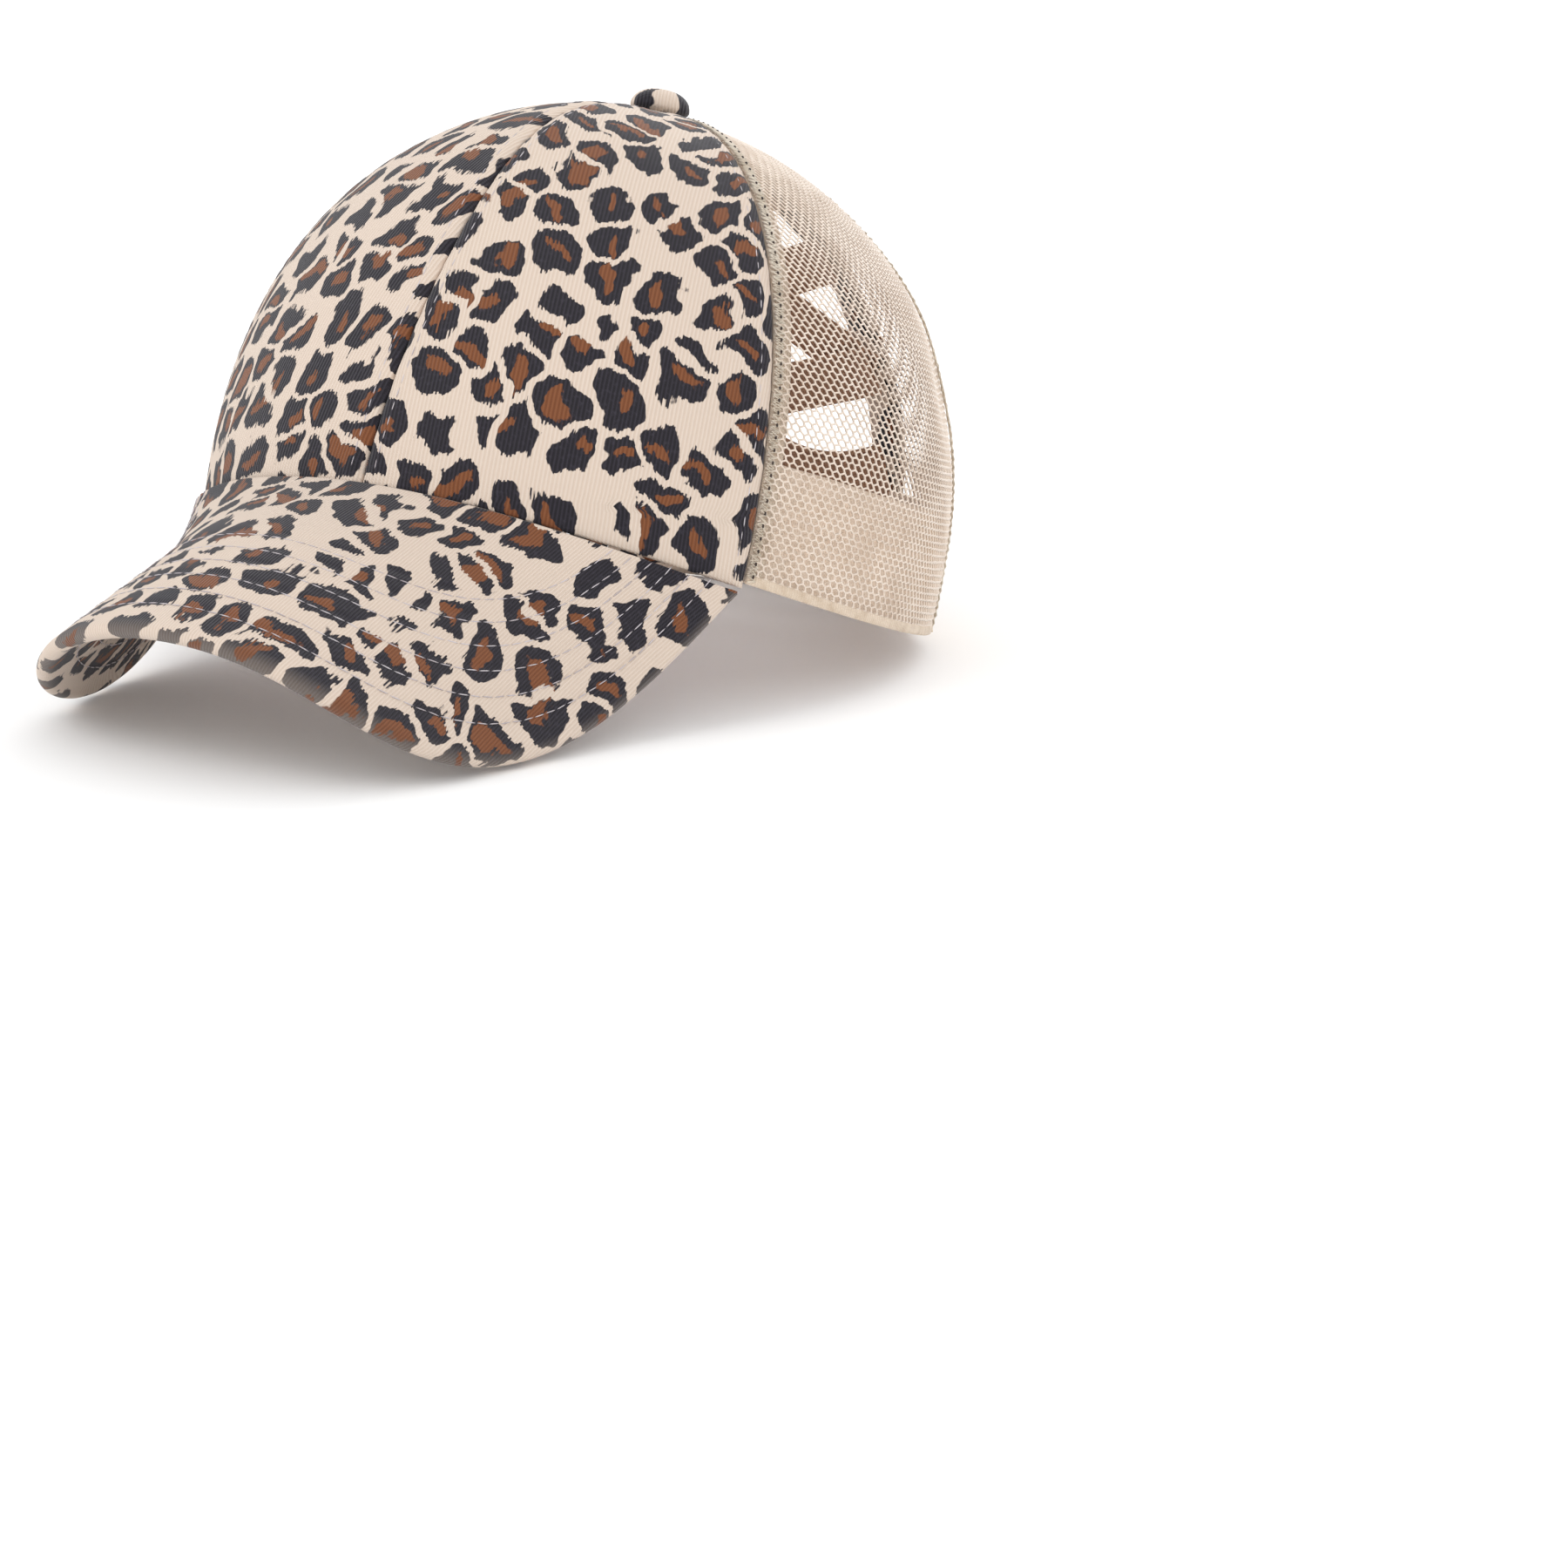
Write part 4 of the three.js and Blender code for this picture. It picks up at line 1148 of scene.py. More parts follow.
def rim_strip(name, start, end, low, high, depth, cloth):
    """A strip of cloth along the rim between two bearings and two lengths above it."""
    span = abs(end - start) * CROWN_HALF_WIDTH

    def place(across, along, offset):
        bearing = lerp(start, end, across)
        share = share_at_length(bearing, lerp(low, high, along))
        return crown_at(bearing, share, depth + offset)

    def flat(across, along):
        return np.stack([across * span, lerp(low, high, along)], axis=-1)

    return soft_plate(name, (int(span / (2 * MM)), 8), (span, high - low), cloth / 2, place, flat)


class CAP_OT_nets(bpy.types.Operator):
    """Knit the four net panels and their hem along the rim"""

    bl_idname = "cap.nets"
    bl_label = "Nets"

    def execute(self, context):
        settings = context.scene.cap_net
        tree = yarn_tree()
        edge = rear_place(OPENING_HALF_WIDTH + BINDING_WIDTH / 4, HEM_HEIGHT)[0]
        for side, hand in SIDES:
            for seed, kind in enumerate(("side", "back")):
                grow_piece(
                    f"net_{kind}_{side}", tree, net_lines(kind, hand, settings.pitch, seed),
                    net_yarn(), "net", f"{kind}_mesh_{side}",
                    Radius=settings.yarn_radius, Sides=settings.sides)
            hem = rim_strip(
                "net_hem_" + side, hand * HEM_START, hand * float(edge),
                0, HEM_HEIGHT, NET / 2, HEM_CLOTH)
            finish_piece(hem, plain("hem_cloth"), "net")
        return {"FINISHED"}


# Tapes and sweatband

TAPE_COUNTS = (18, 90)
TAPE_TOP = math.radians(30)
RAIL_PLACE = 0.72
RAIL_WIDTH = 0.1
RAIL_HEIGHT = 0.12 * MM
CENTRE_TAPE_DROP = 22 * MM
SWEATBAND_COUNTS = (360, 22)
FRONT_SPREAD = 0.62
FRONT_DROP = 13 * MM
FRONT_WAVES = 2.2 * MM
FRONT_SAG = 1.5 * MM
CREASE_DEPTH = 2.2 * MM
CREASE_START = 1.8
CREASE_COLUMNS = ("size", "around", "lean", "start")
CREASES = ((1, 23, 5, 0), (0.6, 41, -7, 1))
WAVE_DEPTH = 0.25 * MM


def front_creases(bearing, along):
    """Creases of the sweatband's front, highest about the middle of its height."""
    total = CREASE_START
    for values in CREASES:
        row = dict(zip(CREASE_COLUMNS, values))
        wave = bearing * row["around"] + row["lean"] * along + row["start"]
        total = total + row["size"] * np.sin(wave)
    return total * np.sin(math.pi * np.clip(along * 1.05, 0, 1)) ** 0.7


def seam_tape(name, bearing, outer, start):
    """A tape on a seam, narrowing at the top where the tapes meet."""
    def frame_at(along):
        share = share_at_length(bearing, lerp(start, cloth_length(bearing), along))
        around = crown_frame(bearing, share)[0]
        half = np.minimum(TAPE_HALF_WIDTH / around, TAPE_TOP - GAP / around)
        return share, around, half

    def place(across, along, offset):
        share, around, half = frame_at(along)
        rail = np.exp(-((np.abs(2 * across - 1) - RAIL_PLACE) / RAIL_WIDTH) ** 2)
        depth = outer + TAPE / 2 + offset + RAIL_HEIGHT * rail * np.sign(offset)
        return crown_at(bearing + half * (2 * across - 1), share, depth)

    def flat(across, along):
        share, around, half = frame_at(along)
        return np.stack([half * around * (2 * across - 1), along * PANEL_HEIGHT], axis=-1)

    return soft_plate(name, TAPE_COUNTS, (2 * TAPE_HALF_WIDTH, PANEL_HEIGHT), TAPE / 2, place, flat)


class CAP_OT_tapes(bpy.types.Operator):
    """Build the tapes behind the seams"""

    bl_idname = "cap.tapes"
    bl_label = "Seam tapes"

    def execute(self, context):
        pale = plain("cream_tape")
        start = SWEATBAND_HEIGHT + GAP
        tape = seam_tape("tape_centre", 0.0, TAPE_ON_LINING, start - CENTRE_TAPE_DROP)
        finish_piece(tape, plain("taupe_tape"), "taupe_tape", "centre_tape")
        for side, hand in SIDES:
            tape = seam_tape("tape_side_" + side, hand * FRONT_SEAM, TAPE_ON_LINING, start)
            finish_piece(tape, pale, "cream_tape", "side_tape_" + side)
            tape = seam_tape("tape_rear_" + side, hand * REAR_SEAM, TAPE_ON_NET, GAP)
            finish_piece(tape, pale, "cream_tape", "rear_tape_" + side)
        return {"FINISHED"}


class CAP_OT_sweatband(bpy.types.Operator):
    """Build the sweatband with its creased front"""

    bl_idname = "cap.sweatband"
    bl_label = "Sweatband"

    def execute(self, context):
        span = 2 * SWEATBAND_END * CROWN_HALF_WIDTH

        def place(across, along, offset):
            bearing = lerp(-SWEATBAND_END, SWEATBAND_END, across)
            front = np.exp(-(bearing / FRONT_SPREAD) ** 2)
            top = SWEATBAND_HEIGHT - front * (FRONT_DROP + FRONT_WAVES * np.sin(bearing * 17 + 1))
            share = share_at_length(bearing, lerp(GAP, top, along))
            crease = CREASE_DEPTH * front * front_creases(bearing, along)
            waves = WAVE_DEPTH * (1 + np.sin(bearing * 60 + 3 * np.sin(bearing * 13)))
            depth = TAPE_ON_LINING + SWEATBAND / 2 + FRONT_SAG * front
            return crown_at(bearing, share, depth + offset + crease + waves)

        def flat(across, along):
            return np.stack([across * span, lerp(GAP, SWEATBAND_HEIGHT, along)], axis=-1)

        band = soft_plate(
            "sweatband_cloth", SWEATBAND_COUNTS, (span, SWEATBAND_HEIGHT), SWEATBAND / 2, place, flat)
        finish_piece(band, plain("sweatband_cloth"), "sweatband", "sweatband")
        return {"FINISHED"}


# Brim

def brim_edge(share):
    """Middle line of the brim's edge, from -1 at its right corner to 1 at its left one."""
    corner = crown_at(BRIM_CORNER, 0.0, 0.0) - np.array([0, 0, BRIM_CORNER_DROP])
    front = crown_at(0.0, 0.0, 0.0)
    points = [corner]
    for row in BRIM_EDGE:
        point = dict(zip(BRIM_EDGE_COLUMNS, row))
        points.append(np.array([
            point["across"] * BRIM_HALF_WIDTH,
            front[1] - point["ahead"] * BRIM_REACH,
            front[2] - point["below"] * BRIM_FALL,
        ]))
    along = (1 - np.abs(share))[..., None]
    level = [np.broadcast_to(point, share.shape + (3,)) for point in points]
    while len(level) > 1:
        level = [lerp(low, high, along) for low, high in zip(level[:-1], level[1:])]
    edge = level[0].copy()
    edge[..., 0] *= np.sign(share) + (share == 0)
    return edge


def brim_middle(share, row):
    """Middle face of the brim: row -1 is tucked under the rim, 0 at the rim and 1 at the edge."""
    share, row = np.broadcast_arrays(share, row)
    bearing = share * BRIM_CORNER
    rim = np.zeros_like(bearing)
    below = crown_frame(bearing, rim)[1] * -(GAP + BRIM_THICKNESS / 2)
    tuck = crown_at(bearing, rim, np.maximum(-row, 0) * (TAPE_ON_LINING + SWEATBAND)) + below
    edge = brim_edge(share)
    width = np.linalg.norm(tuck - edge, axis=-1)
    out = np.clip(row, 0, 1)
    point = lerp(tuck, edge, out[..., None])
    point[..., 2] += BRIM_CAMBER * np.sin(math.pi * out) * width / math.hypot(BRIM_REACH, BRIM_FALL)
    return point


def brim_normal(share, row):
    """Upward direction of the brim's faces."""
    step = 0.02
    side = np.clip(share, step - 1, 1 - step)
    low = np.clip(row, 0, 1 - step)
    across = brim_middle(side + step, row) - brim_middle(side - step, row)
    along = brim_middle(side, low + step) - brim_middle(side, low)
    return unit(np.cross(along, across))


def brim_width(share):
    """From the rim to the brim's edge."""
    root, edge = brim_middle(share, np.zeros_like(share)), brim_middle(share, np.ones_like(share))
    return np.linalg.norm(edge - root, axis=-1)


def third_corner(first, second, from_first, from_second, side):
    """Flat place at distances from two others, on the side that the sign of side gives."""
    base = second - first
    apart = np.linalg.norm(base)
    along = (from_first ** 2 - from_second ** 2 + apart ** 2) / (2 * apart)
    aside = math.sqrt(max(from_first ** 2 - along ** 2, 0))
    return first + (base * along + side * aside * np.array([-base[1], base[0]])) / apart


def unrolled(share):
    """Flat places of the brim's root and edge, its rulings laid down one after another."""
    zero = np.zeros_like(share)
    roots, edges = brim_middle(share, zero), brim_middle(share, zero + 1)
    flat_root, flat_edge = np.zeros((2, len(share), 2))
    middle = len(share) // 2
    flat_edge[middle] = (0, -np.linalg.norm(edges[middle] - roots[middle]))
    for side, stop in ((1, len(share)), (-1, -1)):
        for new in range(middle + side, stop, side):
            old = new - side
            flat_root[new] = third_corner(
                flat_root[old], flat_edge[old], np.linalg.norm(roots[new] - roots[old]),
                np.linalg.norm(roots[new] - edges[old]), side)
            flat_edge[new] = third_corner(
                flat_root[new], flat_edge[old], np.linalg.norm(edges[new] - roots[new]),
                np.linalg.norm(edges[new] - edges[old]), side)
    return flat_root, flat_edge


BRIM_COUNTS = (150, 120)
BRIM_TUCK_SHARE = 0.055
BRIM_RUN = 80 * MM
CHANNEL_DEPTH = 0.22 * MM
CHANNEL_WIDTH = 0.9 * MM
FIRST_ROW = 9.5 * MM
WORN_EDGE = 4 * MM
BRIM_SPAN = 190 * MM


class CAP_OT_brim(bpy.types.Operator):
    """Build the brim"""

    bl_idname = "cap.brim"
    bl_label = "Brim"

    def execute(self, context):
        half = BRIM_THICKNESS / 2
        tuck = BRIM_TUCK_SHARE
        across, along = np.meshgrid(
            edge_steps(BRIM_COUNTS[0], BRIM_SPAN, half), edge_steps(BRIM_COUNTS[1], BRIM_RUN, half))
        share = 2 * across - 1
        row = np.where(along < tuck, along / tuck - 1, (along - tuck) / (1 - tuck))
        width = brim_width(share)
        inward = (1 - along) * width
        near = np.minimum(np.minimum(across, 1 - across) * BRIM_SPAN, inward)
        reach = np.clip(near / half, 0, 1)
        height = half * np.sqrt(1 - (1 - reach) ** 2)
        height[0] = 0
        sewing = context.scene.cap_stitch
        for number in range(sewing.rows):
            from_row = inward - FIRST_ROW - number * sewing.row_gap
            channel = CHANNEL_DEPTH * np.exp(-(from_row / CHANNEL_WIDTH) ** 2)
            height -= channel * (height > half * 0.99)
        middle = brim_middle(share, row)
        offset = brim_normal(share, row) * height[..., None]

        # The flat cloth runs on round the brim's edge, where the underside begins
        root, edge = unrolled(share[0])
        out = (edge - root) / width[0][:, None]
        round_edge = np.clip(inward / half, 0, 1)
        extra = half * (np.arccos(1 - round_edge) - round_edge)
        flat = root + (row * width - extra)[..., None] * out
        flat_under = 2 * edge - flat
        brim = closed_sheet("brim_cotton", middle + offset, middle - offset, flat, flat_under)
        worn = np.clip((row - 1 + WORN_EDGE / width) / (WORN_EDGE / width), 0, 1) ** 1.5
        worn = np.concatenate([worn.ravel(), worn[1:-1, 1:-1].ravel()])
        attribute = brim.data.attributes.new("worn", "FLOAT", "POINT")
        attribute.data.foreach_set("value", worn.astype(np.float32))
        finish_piece(brim, cotton("print_brim", (330, 90), 0.0, 0.72, True), "printed_cotton", "brim")
        return {"FINISHED"}


# Bindings

def arch_place(offset, share):
    """Sideways place and length above the rim of the arch, 0 at the rim, 1 at its spring, 2 on top."""
    offset, share = np.broadcast_arrays(offset, share)
    radius = ARCH_RADIUS + offset
    centre = OPENING_HALF_WIDTH - ARCH_RADIUS
    turn = np.clip(share - 1, 0, 1) * np.arccos((GAP / 2 - centre) / radius)
    x = centre + radius * np.cos(turn)
    length = OPENING_STRAIGHT * np.clip(share, 0, 1) + radius * np.sin(turn)
    return x, length


ARCH_RUN = 97 * MM
SECTION_STEPS = 12
STRAIGHT_RINGS = 40
ARCH_RINGS = 110
RIPPLE_DEPTH = 0.1 * MM
RIPPLE_LENGTH = 1.4 * MM
RIPPLE_DRIFT = 7 * MM


def binding_section():
    """Middle line of the folded binding as offsets and depths, with its directions."""
    outer, inner = -LAYER_GAP - BINDING_CLOTH / 2, NET + LAYER_GAP + BINDING_CLOTH / 2
    fold = (inner - outer) / 2
    half = BINDING_WIDTH / 2
    straight = np.linspace(half, -half + fold + BINDING_CLOTH / 2, SECTION_STEPS)
    turn = np.linspace(0, math.pi, SECTION_STEPS)[1:-1]
    bend = straight[-1] - fold * np.sin(turn)
    depth = (outer + inner) / 2 - fold * np.cos(turn)
    offsets = np.concatenate([straight, bend, straight[::-1]])
    depths = np.concatenate([np.full(SECTION_STEPS, outer), depth, np.full(SECTION_STEPS, inner)])
    return offsets, depths


def section_loop(offsets, depths, cloth):
    """Closed outline of a cloth round its middle line, with rounded ends, and its run in metres."""
    middle = np.stack([offsets, depths], axis=-1)
    tangent = unit(np.gradient(middle, axis=0))
    normal = np.stack([-tangent[:, 1], tangent[:, 0]], axis=-1)
    run = np.concatenate([[0], np.cumsum(np.linalg.norm(np.diff(middle, axis=0), axis=-1))])
    from_end = np.minimum(run, run[-1] - run)
    half = cloth / 2 * np.sqrt(1 - (1 - np.clip(from_end / (cloth / 2), 0, 1)) ** 2)
    half[[0, -1]] = cloth / 8
    loop = np.concatenate([middle + normal * half[:, None], (middle - normal * half[:, None])[::-1]])
    return loop, np.concatenate([run, run[::-1]])


def loop_sweep(name, rings, flat):
    """A closed bar through rings of points that pair across its thickness."""
    count, sides = rings.shape[:2]
    index = np.arange(count * sides).reshape(count, sides)
    around = np.concatenate([index, index[:, :1]], axis=1)
    pair = np.arange(sides // 2 - 1)
    cap = np.stack([pair, pair + 1, sides - 2 - pair, sides - 1 - pair], axis=-1)
    faces = np.concatenate([grid_faces(around), cap[:, ::-1], cap + (count - 1) * sides])
    return new_piece(name, to_part(rings.reshape(-1, 3)), faces, flat.reshape(-1, 2))


class CAP_OT_bindings(bpy.types.Operator):
    """Build the printed binding of the opening"""

    bl_idname = "cap.bindings"
    bl_label = "Bindings"

    def execute(self, context):
        loop, run = section_loop(*binding_section(), BINDING_CLOTH)
        shares = np.concatenate([
            np.linspace(0, 1, STRAIGHT_RINGS)[:-1], np.linspace(1, 2, ARCH_RINGS)])
        runs = np.diff(shares) * np.where(shares[1:] <= 1, OPENING_STRAIGHT, ARCH_RUN)
        along = np.concatenate([[0], np.cumsum(runs)])
        for side, hand in SIDES:
            x, length = arch_place(loop[None, :, 0], shares[:, None])
            ripple = np.sin(along[:, None] / RIPPLE_LENGTH + 2 * np.sin(along[:, None] / RIPPLE_DRIFT))
            outer_edge = np.clip(loop[None, :, 0] / (BINDING_WIDTH / 2), 0, 1) ** 2
            depth = loop[None, :, 1] + RIPPLE_DEPTH * ripple * outer_edge
            rings = rear_point(hand * x, length, np.broadcast_to(depth, x.shape))
            flat = np.stack(np.broadcast_arrays(run[None, :], along[:, None]), axis=-1)
            binding = loop_sweep("binding_cotton_" + side, rings, flat)
            finish = cotton("print_binding_" + side, (20 + 150 * hand, 500), math.radians(80), 0.8)
            finish_piece(binding, finish, "printed_cotton", "binding_" + side)
        return {"FINISHED"}


# Closure and care tab

STRAP_STEP = 1.2 * MM
STRAP_TURN = math.radians(68)
UNDER_STRAP_TOP = 0.4 * MM
TAPE_LAP = 0.1 * MM
TAPE_SINK = 0.2 * MM
TAPE_BOTTOM = 0.6 * MM
TAPE_CLOTH = 1.1 * MM
CARE_TAB_CURL = 1.4 * MM


def rear_strap(name, start, end, low, high, outer, cloth, shape=None):
    """A strap across the back between two places and two lengths above the rim."""
    size = (abs(end - start), high - low)

    def place(across, along, offset):
        depth = outer + cloth / 2 + offset
        if shape is not None:
            depth = depth + shape(across, along)
        return rear_point(lerp(start, end, across), lerp(low, high, along), depth)

    def flat(across, along):
        return np.stack([across * size[0], lerp(low, high, along)], axis=-1)

    counts = [max(8, int(length / STRAP_STEP)) for length in size]
    return soft_plate(name, counts, size, cloth / 2, place, flat)


class CAP_OT_closure(bpy.types.Operator):
    """Build the closure's two straps and the tape that binds the outer one"""

    bl_idname = "cap.closure"
    bl_label = "Closure"

    def execute(self, context):
        strap = rear_strap(
            "closure_cotton", OPENING_EDGE - GAP, -CLOSURE_END, GAP, CLOSURE_HEIGHT,
            -CLOSURE_PROUD, CLOSURE_CLOTH)
        finish = cotton("print_closure", (-210, 260), STRAP_TURN, 0.85)
        finish_piece(strap, finish, "printed_cotton", "closure_strap")
        under = rear_strap(
            "closure_under_cotton", OPENING_EDGE - GAP, -OPENING_EDGE + GAP,
            GAP + UNDER_STRAP_RISE / 2, CLOSURE_HEIGHT + UNDER_STRAP_RISE + UNDER_STRAP_TOP,
            CLOSURE_CLOTH + LAYER_GAP - CLOSURE_PROUD, CLOSURE_CLOTH)
        finish = cotton("print_under_strap", (40, -330), STRAP_TURN, 0.85)
        finish_piece(under, finish, "printed_cotton", "closure_under_strap")
        tape = plain("peach_tape")
        outer = TAPE_SINK - CLOSURE_PROUD
        top = rear_strap(
            "closure_top_tape", OPENING_EDGE - GAP, -CLOSURE_END - CLOSURE_TAPE_END,
            CLOSURE_HEIGHT - TAPE_LAP, CLOSURE_HEIGHT + CLOSURE_TAPE, outer, TAPE_CLOTH)
        finish_piece(top, tape, "plain_cotton")
        end = rear_strap(
            "closure_end_tape", TAPE_LAP - CLOSURE_END, -CLOSURE_END - CLOSURE_TAPE_END,
            GAP + TAPE_BOTTOM, CLOSURE_HEIGHT + CLOSURE_TAPE / 2, outer, TAPE_CLOTH)
        finish_piece(end, tape, "plain_cotton")
        return {"FINISHED"}


class CAP_OT_care_tab(bpy.types.Operator):
    """Build the small blank tab beside the closure"""

    bl_idname = "cap.care_tab"
    bl_label = "Care tab"

    def execute(self, context):
        start = CARE_TAB_TUCK - OPENING_EDGE
        tab = rear_strap(
            "care_tab_cloth", start, start - CARE_TAB_WIDTH, CARE_TAB_TOP - CARE_TAB_HEIGHT, CARE_TAB_TOP,
            BINDING_INNER + LAYER_GAP, CARE_TAB_CLOTH,
            lambda across, along: CARE_TAB_CURL * np.sin(math.pi * along) * (1 - across))
        finish_piece(tab, plain("peach_cotton"), "plain_cotton", "care_tab")
        return {"FINISHED"}


# Elastics

RIB_PITCH = 0.62 * MM
RIB_STEPS = 3
RIB_RISE = 0.07 * MM
RIB_FADE = 0.3 * MM
BAND_COLUMNS = 22
CORD_WIDTH = 1.1 * MM
CORD_RISE = 0.16 * MM
CORD_SPREAD = 0.45 * MM
GROOVE_PLACE = 1.35 * CORD_WIDTH
GROOVE_DEPTH = 0.14 * MM
GROOVE_WIDTH = 0.22 * MM
BAND_HALF = 0.36 * MM
BAND_ROUNDING = 0.5 * MM
HIDDEN_END = 6 * MM
WIDEST_SHARE = 0.64


def across_opening(x, length, depth):
    """Points of the elastics: ruled straight across the opening, and on the crown outside it."""
    edge = arch_half_width(ELASTIC_ANCHOR, length)
    left = rear_point(edge, length, depth)
    right = rear_point(-edge, length, depth)
    ruled = lerp(left, right, ((edge - x) / (2 * edge))[..., None])
    widest = CROWN_HALF_WIDTH * WIDEST_SHARE
    beyond = rear_point(np.clip(x, -widest, widest), length, depth)
    return np.where((np.abs(x) >= edge)[..., None], beyond, ruled)


def elastic_line(line, share):
    """Places along an elastic's centre line and its directions, on the flat cloth."""
    points = [np.array([x * OPENING_HALF_WIDTH, y * OPENING_HEIGHT]) for x, y in line]

    def tucked(end, bend):
        return end + unit(end - bend) * (ELASTIC_TUCK + HIDDEN_END)

    a, b, c, d = tucked(points[0], points[1]), points[1], points[2], tucked(points[3], points[2])
    t = share[..., None]
    place = (1 - t) ** 3 * a + 3 * (1 - t) ** 2 * t * b + 3 * (1 - t) * t ** 2 * c + t ** 3 * d
    tangent = (1 - t) ** 2 * (b - a) + 2 * (1 - t) * t * (c - b) + t ** 2 * (d - c)
    return place, unit(tangent)


def elastic_band(name, row):
    """A ribbed band with a cord along each edge."""
    sample = elastic_line(row["line"], np.linspace(0, 1, 60))[0]
    total = np.linalg.norm(np.diff(sample, axis=0), axis=-1).sum()
    base = BINDING_INNER + LAYER_GAP
    layer_step = ELASTIC_CLOTH + LAYER_GAP
    along = np.linspace(0, 1, int(total / RIB_PITCH * RIB_STEPS))
    across = edge_steps(BAND_COLUMNS, ELASTIC_WIDTH, BAND_ROUNDING)
    across, along = np.meshgrid(across, along)
    place, tangent = elastic_line(row["line"], along)
    aside = (across - 0.5) * ELASTIC_WIDTH
    x = place[..., 0] - tangent[..., 1] * aside
    length = place[..., 1] + tangent[..., 0] * aside
    tuck = lerp(row["tucks"][0], row["tucks"][1], along) * layer_step
    bow = row["layer"] * ELASTIC_BOW * np.sin(math.pi * along)
    from_edge = ELASTIC_WIDTH / 2 - np.abs(aside)
    cord = np.exp(-((from_edge - CORD_WIDTH / 2) / CORD_SPREAD) ** 2)
    groove = np.exp(-((from_edge - GROOVE_PLACE) / GROOVE_WIDTH) ** 2)
    ribbed = np.clip((from_edge - CORD_WIDTH) / RIB_FADE, 0, 1)
    ribs = np.sin(along * total / RIB_PITCH * TAU)
    body = BAND_HALF + RIB_RISE * ribs * ribbed + CORD_RISE * cord - GROOVE_DEPTH * groove
    half = rounded(across, along, ELASTIC_WIDTH, total, BAND_ROUNDING) / BAND_ROUNDING * body
    depth = base + tuck + bow + ELASTIC_CLOTH / 2
    outer = across_opening(x, length, depth - half)
    inner = across_opening(x, length, depth + half)
    flat = np.stack([aside, along * total], axis=-1)
    return closed_sheet(name, outer, inner, flat)


class CAP_OT_elastics(bpy.types.Operator):
    """Build the four elastics across the opening"""

    bl_idname = "cap.elastics"
    bl_label = "Elastics"

    def execute(self, context):
        finish = material(
            "tan_elastic", elastic_cloth, srgb(198, 157, 127), srgb(138, 97, 73), RIB_PITCH / MM,
            (ELASTIC_WIDTH / 2 - GROOVE_PLACE) / MM)
        for node, row in ELASTICS.items():
            band = elastic_band(node + "_band", row)
            finish_piece(band, finish, "elastic", node)
        return {"FINISHED"}


# Button, with shares of its radius and height

BUTTON_SIDES = 72
BUTTON_TURNS = 22
BUTTON_PLEATS = 9
PLEAT_DEPTH = 0.012
PLEAT_TOP = 0.5
UNDERCUT_TURN = 0.9
UNDERCUT_DRAW = 0.05
SEAT_SHARE = 0.6
WIDEST_HEIGHT = 0.3
DOME_HEIGHT = 0.7
UNDERCUT_HEIGHT = 0.36


def button_rings(seat):
    """Radius and height of the button's rings, from its flat bottom to its top."""
    turn = np.linspace(-UNDERCUT_TURN, math.pi / 2, BUTTON_TURNS)
    radius = BUTTON_RADIUS * np.cos(turn) ** 0.8 * np.where(turn < 0, 1 + UNDERCUT_DRAW * turn, 1)
    above = DOME_HEIGHT * np.sin(np.maximum(turn, 0))
    below = UNDERCUT_HEIGHT * np.sin(np.minimum(turn, 0))
    height = seat + BUTTON_HEIGHT * (WIDEST_HEIGHT + above + below)
    seat_radius = radius[0] * SEAT_SHARE
    return np.concatenate([[seat_radius], radius[:-1]]), np.concatenate([[seat], height[:-1]])


class CAP_OT_button(bpy.types.Operator):
    """Build the covered button"""

    bl_idname = "cap.button"
    bl_label = "Button"

    def execute(self, context):
        seat = CROWN_HEIGHT + GAP
        radius, height = button_rings(seat)
        around = np.linspace(0, TAU, BUTTON_SIDES + 1)[:-1]
        folded = (height < seat + BUTTON_HEIGHT * PLEAT_TOP)[:, None]
        ring = radius[:, None] * (1 + PLEAT_DEPTH * np.sin(around * BUTTON_PLEATS)[None, :] * folded)
        level = np.broadcast_to(height[:, None], ring.shape)
        points = np.stack([ring * np.cos(around), ring * np.sin(around), level], axis=-1).reshape(-1, 3)
        ends = np.array([[0, 0, seat], [0, 0, seat + BUTTON_HEIGHT]])
        everything = np.concatenate([points, ends])
        bottom, top = len(points), len(points) + 1
        index = np.arange(len(points)).reshape(ring.shape)
        loop = np.concatenate([index, index[:, :1]], axis=1)
        faces = grid_faces(loop).tolist()
        faces += [[int(end), int(start), bottom] for start, end in zip(loop[0, :-1], loop[0, 1:])]
        faces += [[int(start), int(end), top] for start, end in zip(loop[-1, :-1], loop[-1, 1:])]
        button = mesh_object("button_cotton", to_part(everything), faces, everything[:, :2])
        finish_piece(button, cotton("print_button", (404, 33), 0.6, 0.8), "printed_cotton", "top_button")
        return {"FINISHED"}


# Stitching

ROW_REACH = 0.955
SHORTEST_PART = 8
THREAD_LIFT = 0.02 * MM
STITCH_TO_SEAM = 3.2 * MM
PANEL_STITCH_TO_SEAM = 3.4 * MM
SEAM_STITCH_PITCH = 3.4 * MM
SEAM_STITCH_LENGTH = 2.6 * MM
STRAP_STITCH_PITCH = 3.5 * MM
STRAP_STITCH_LENGTH = 3.1 * MM
STRAP_STITCH_RADIUS = 0.17 * MM
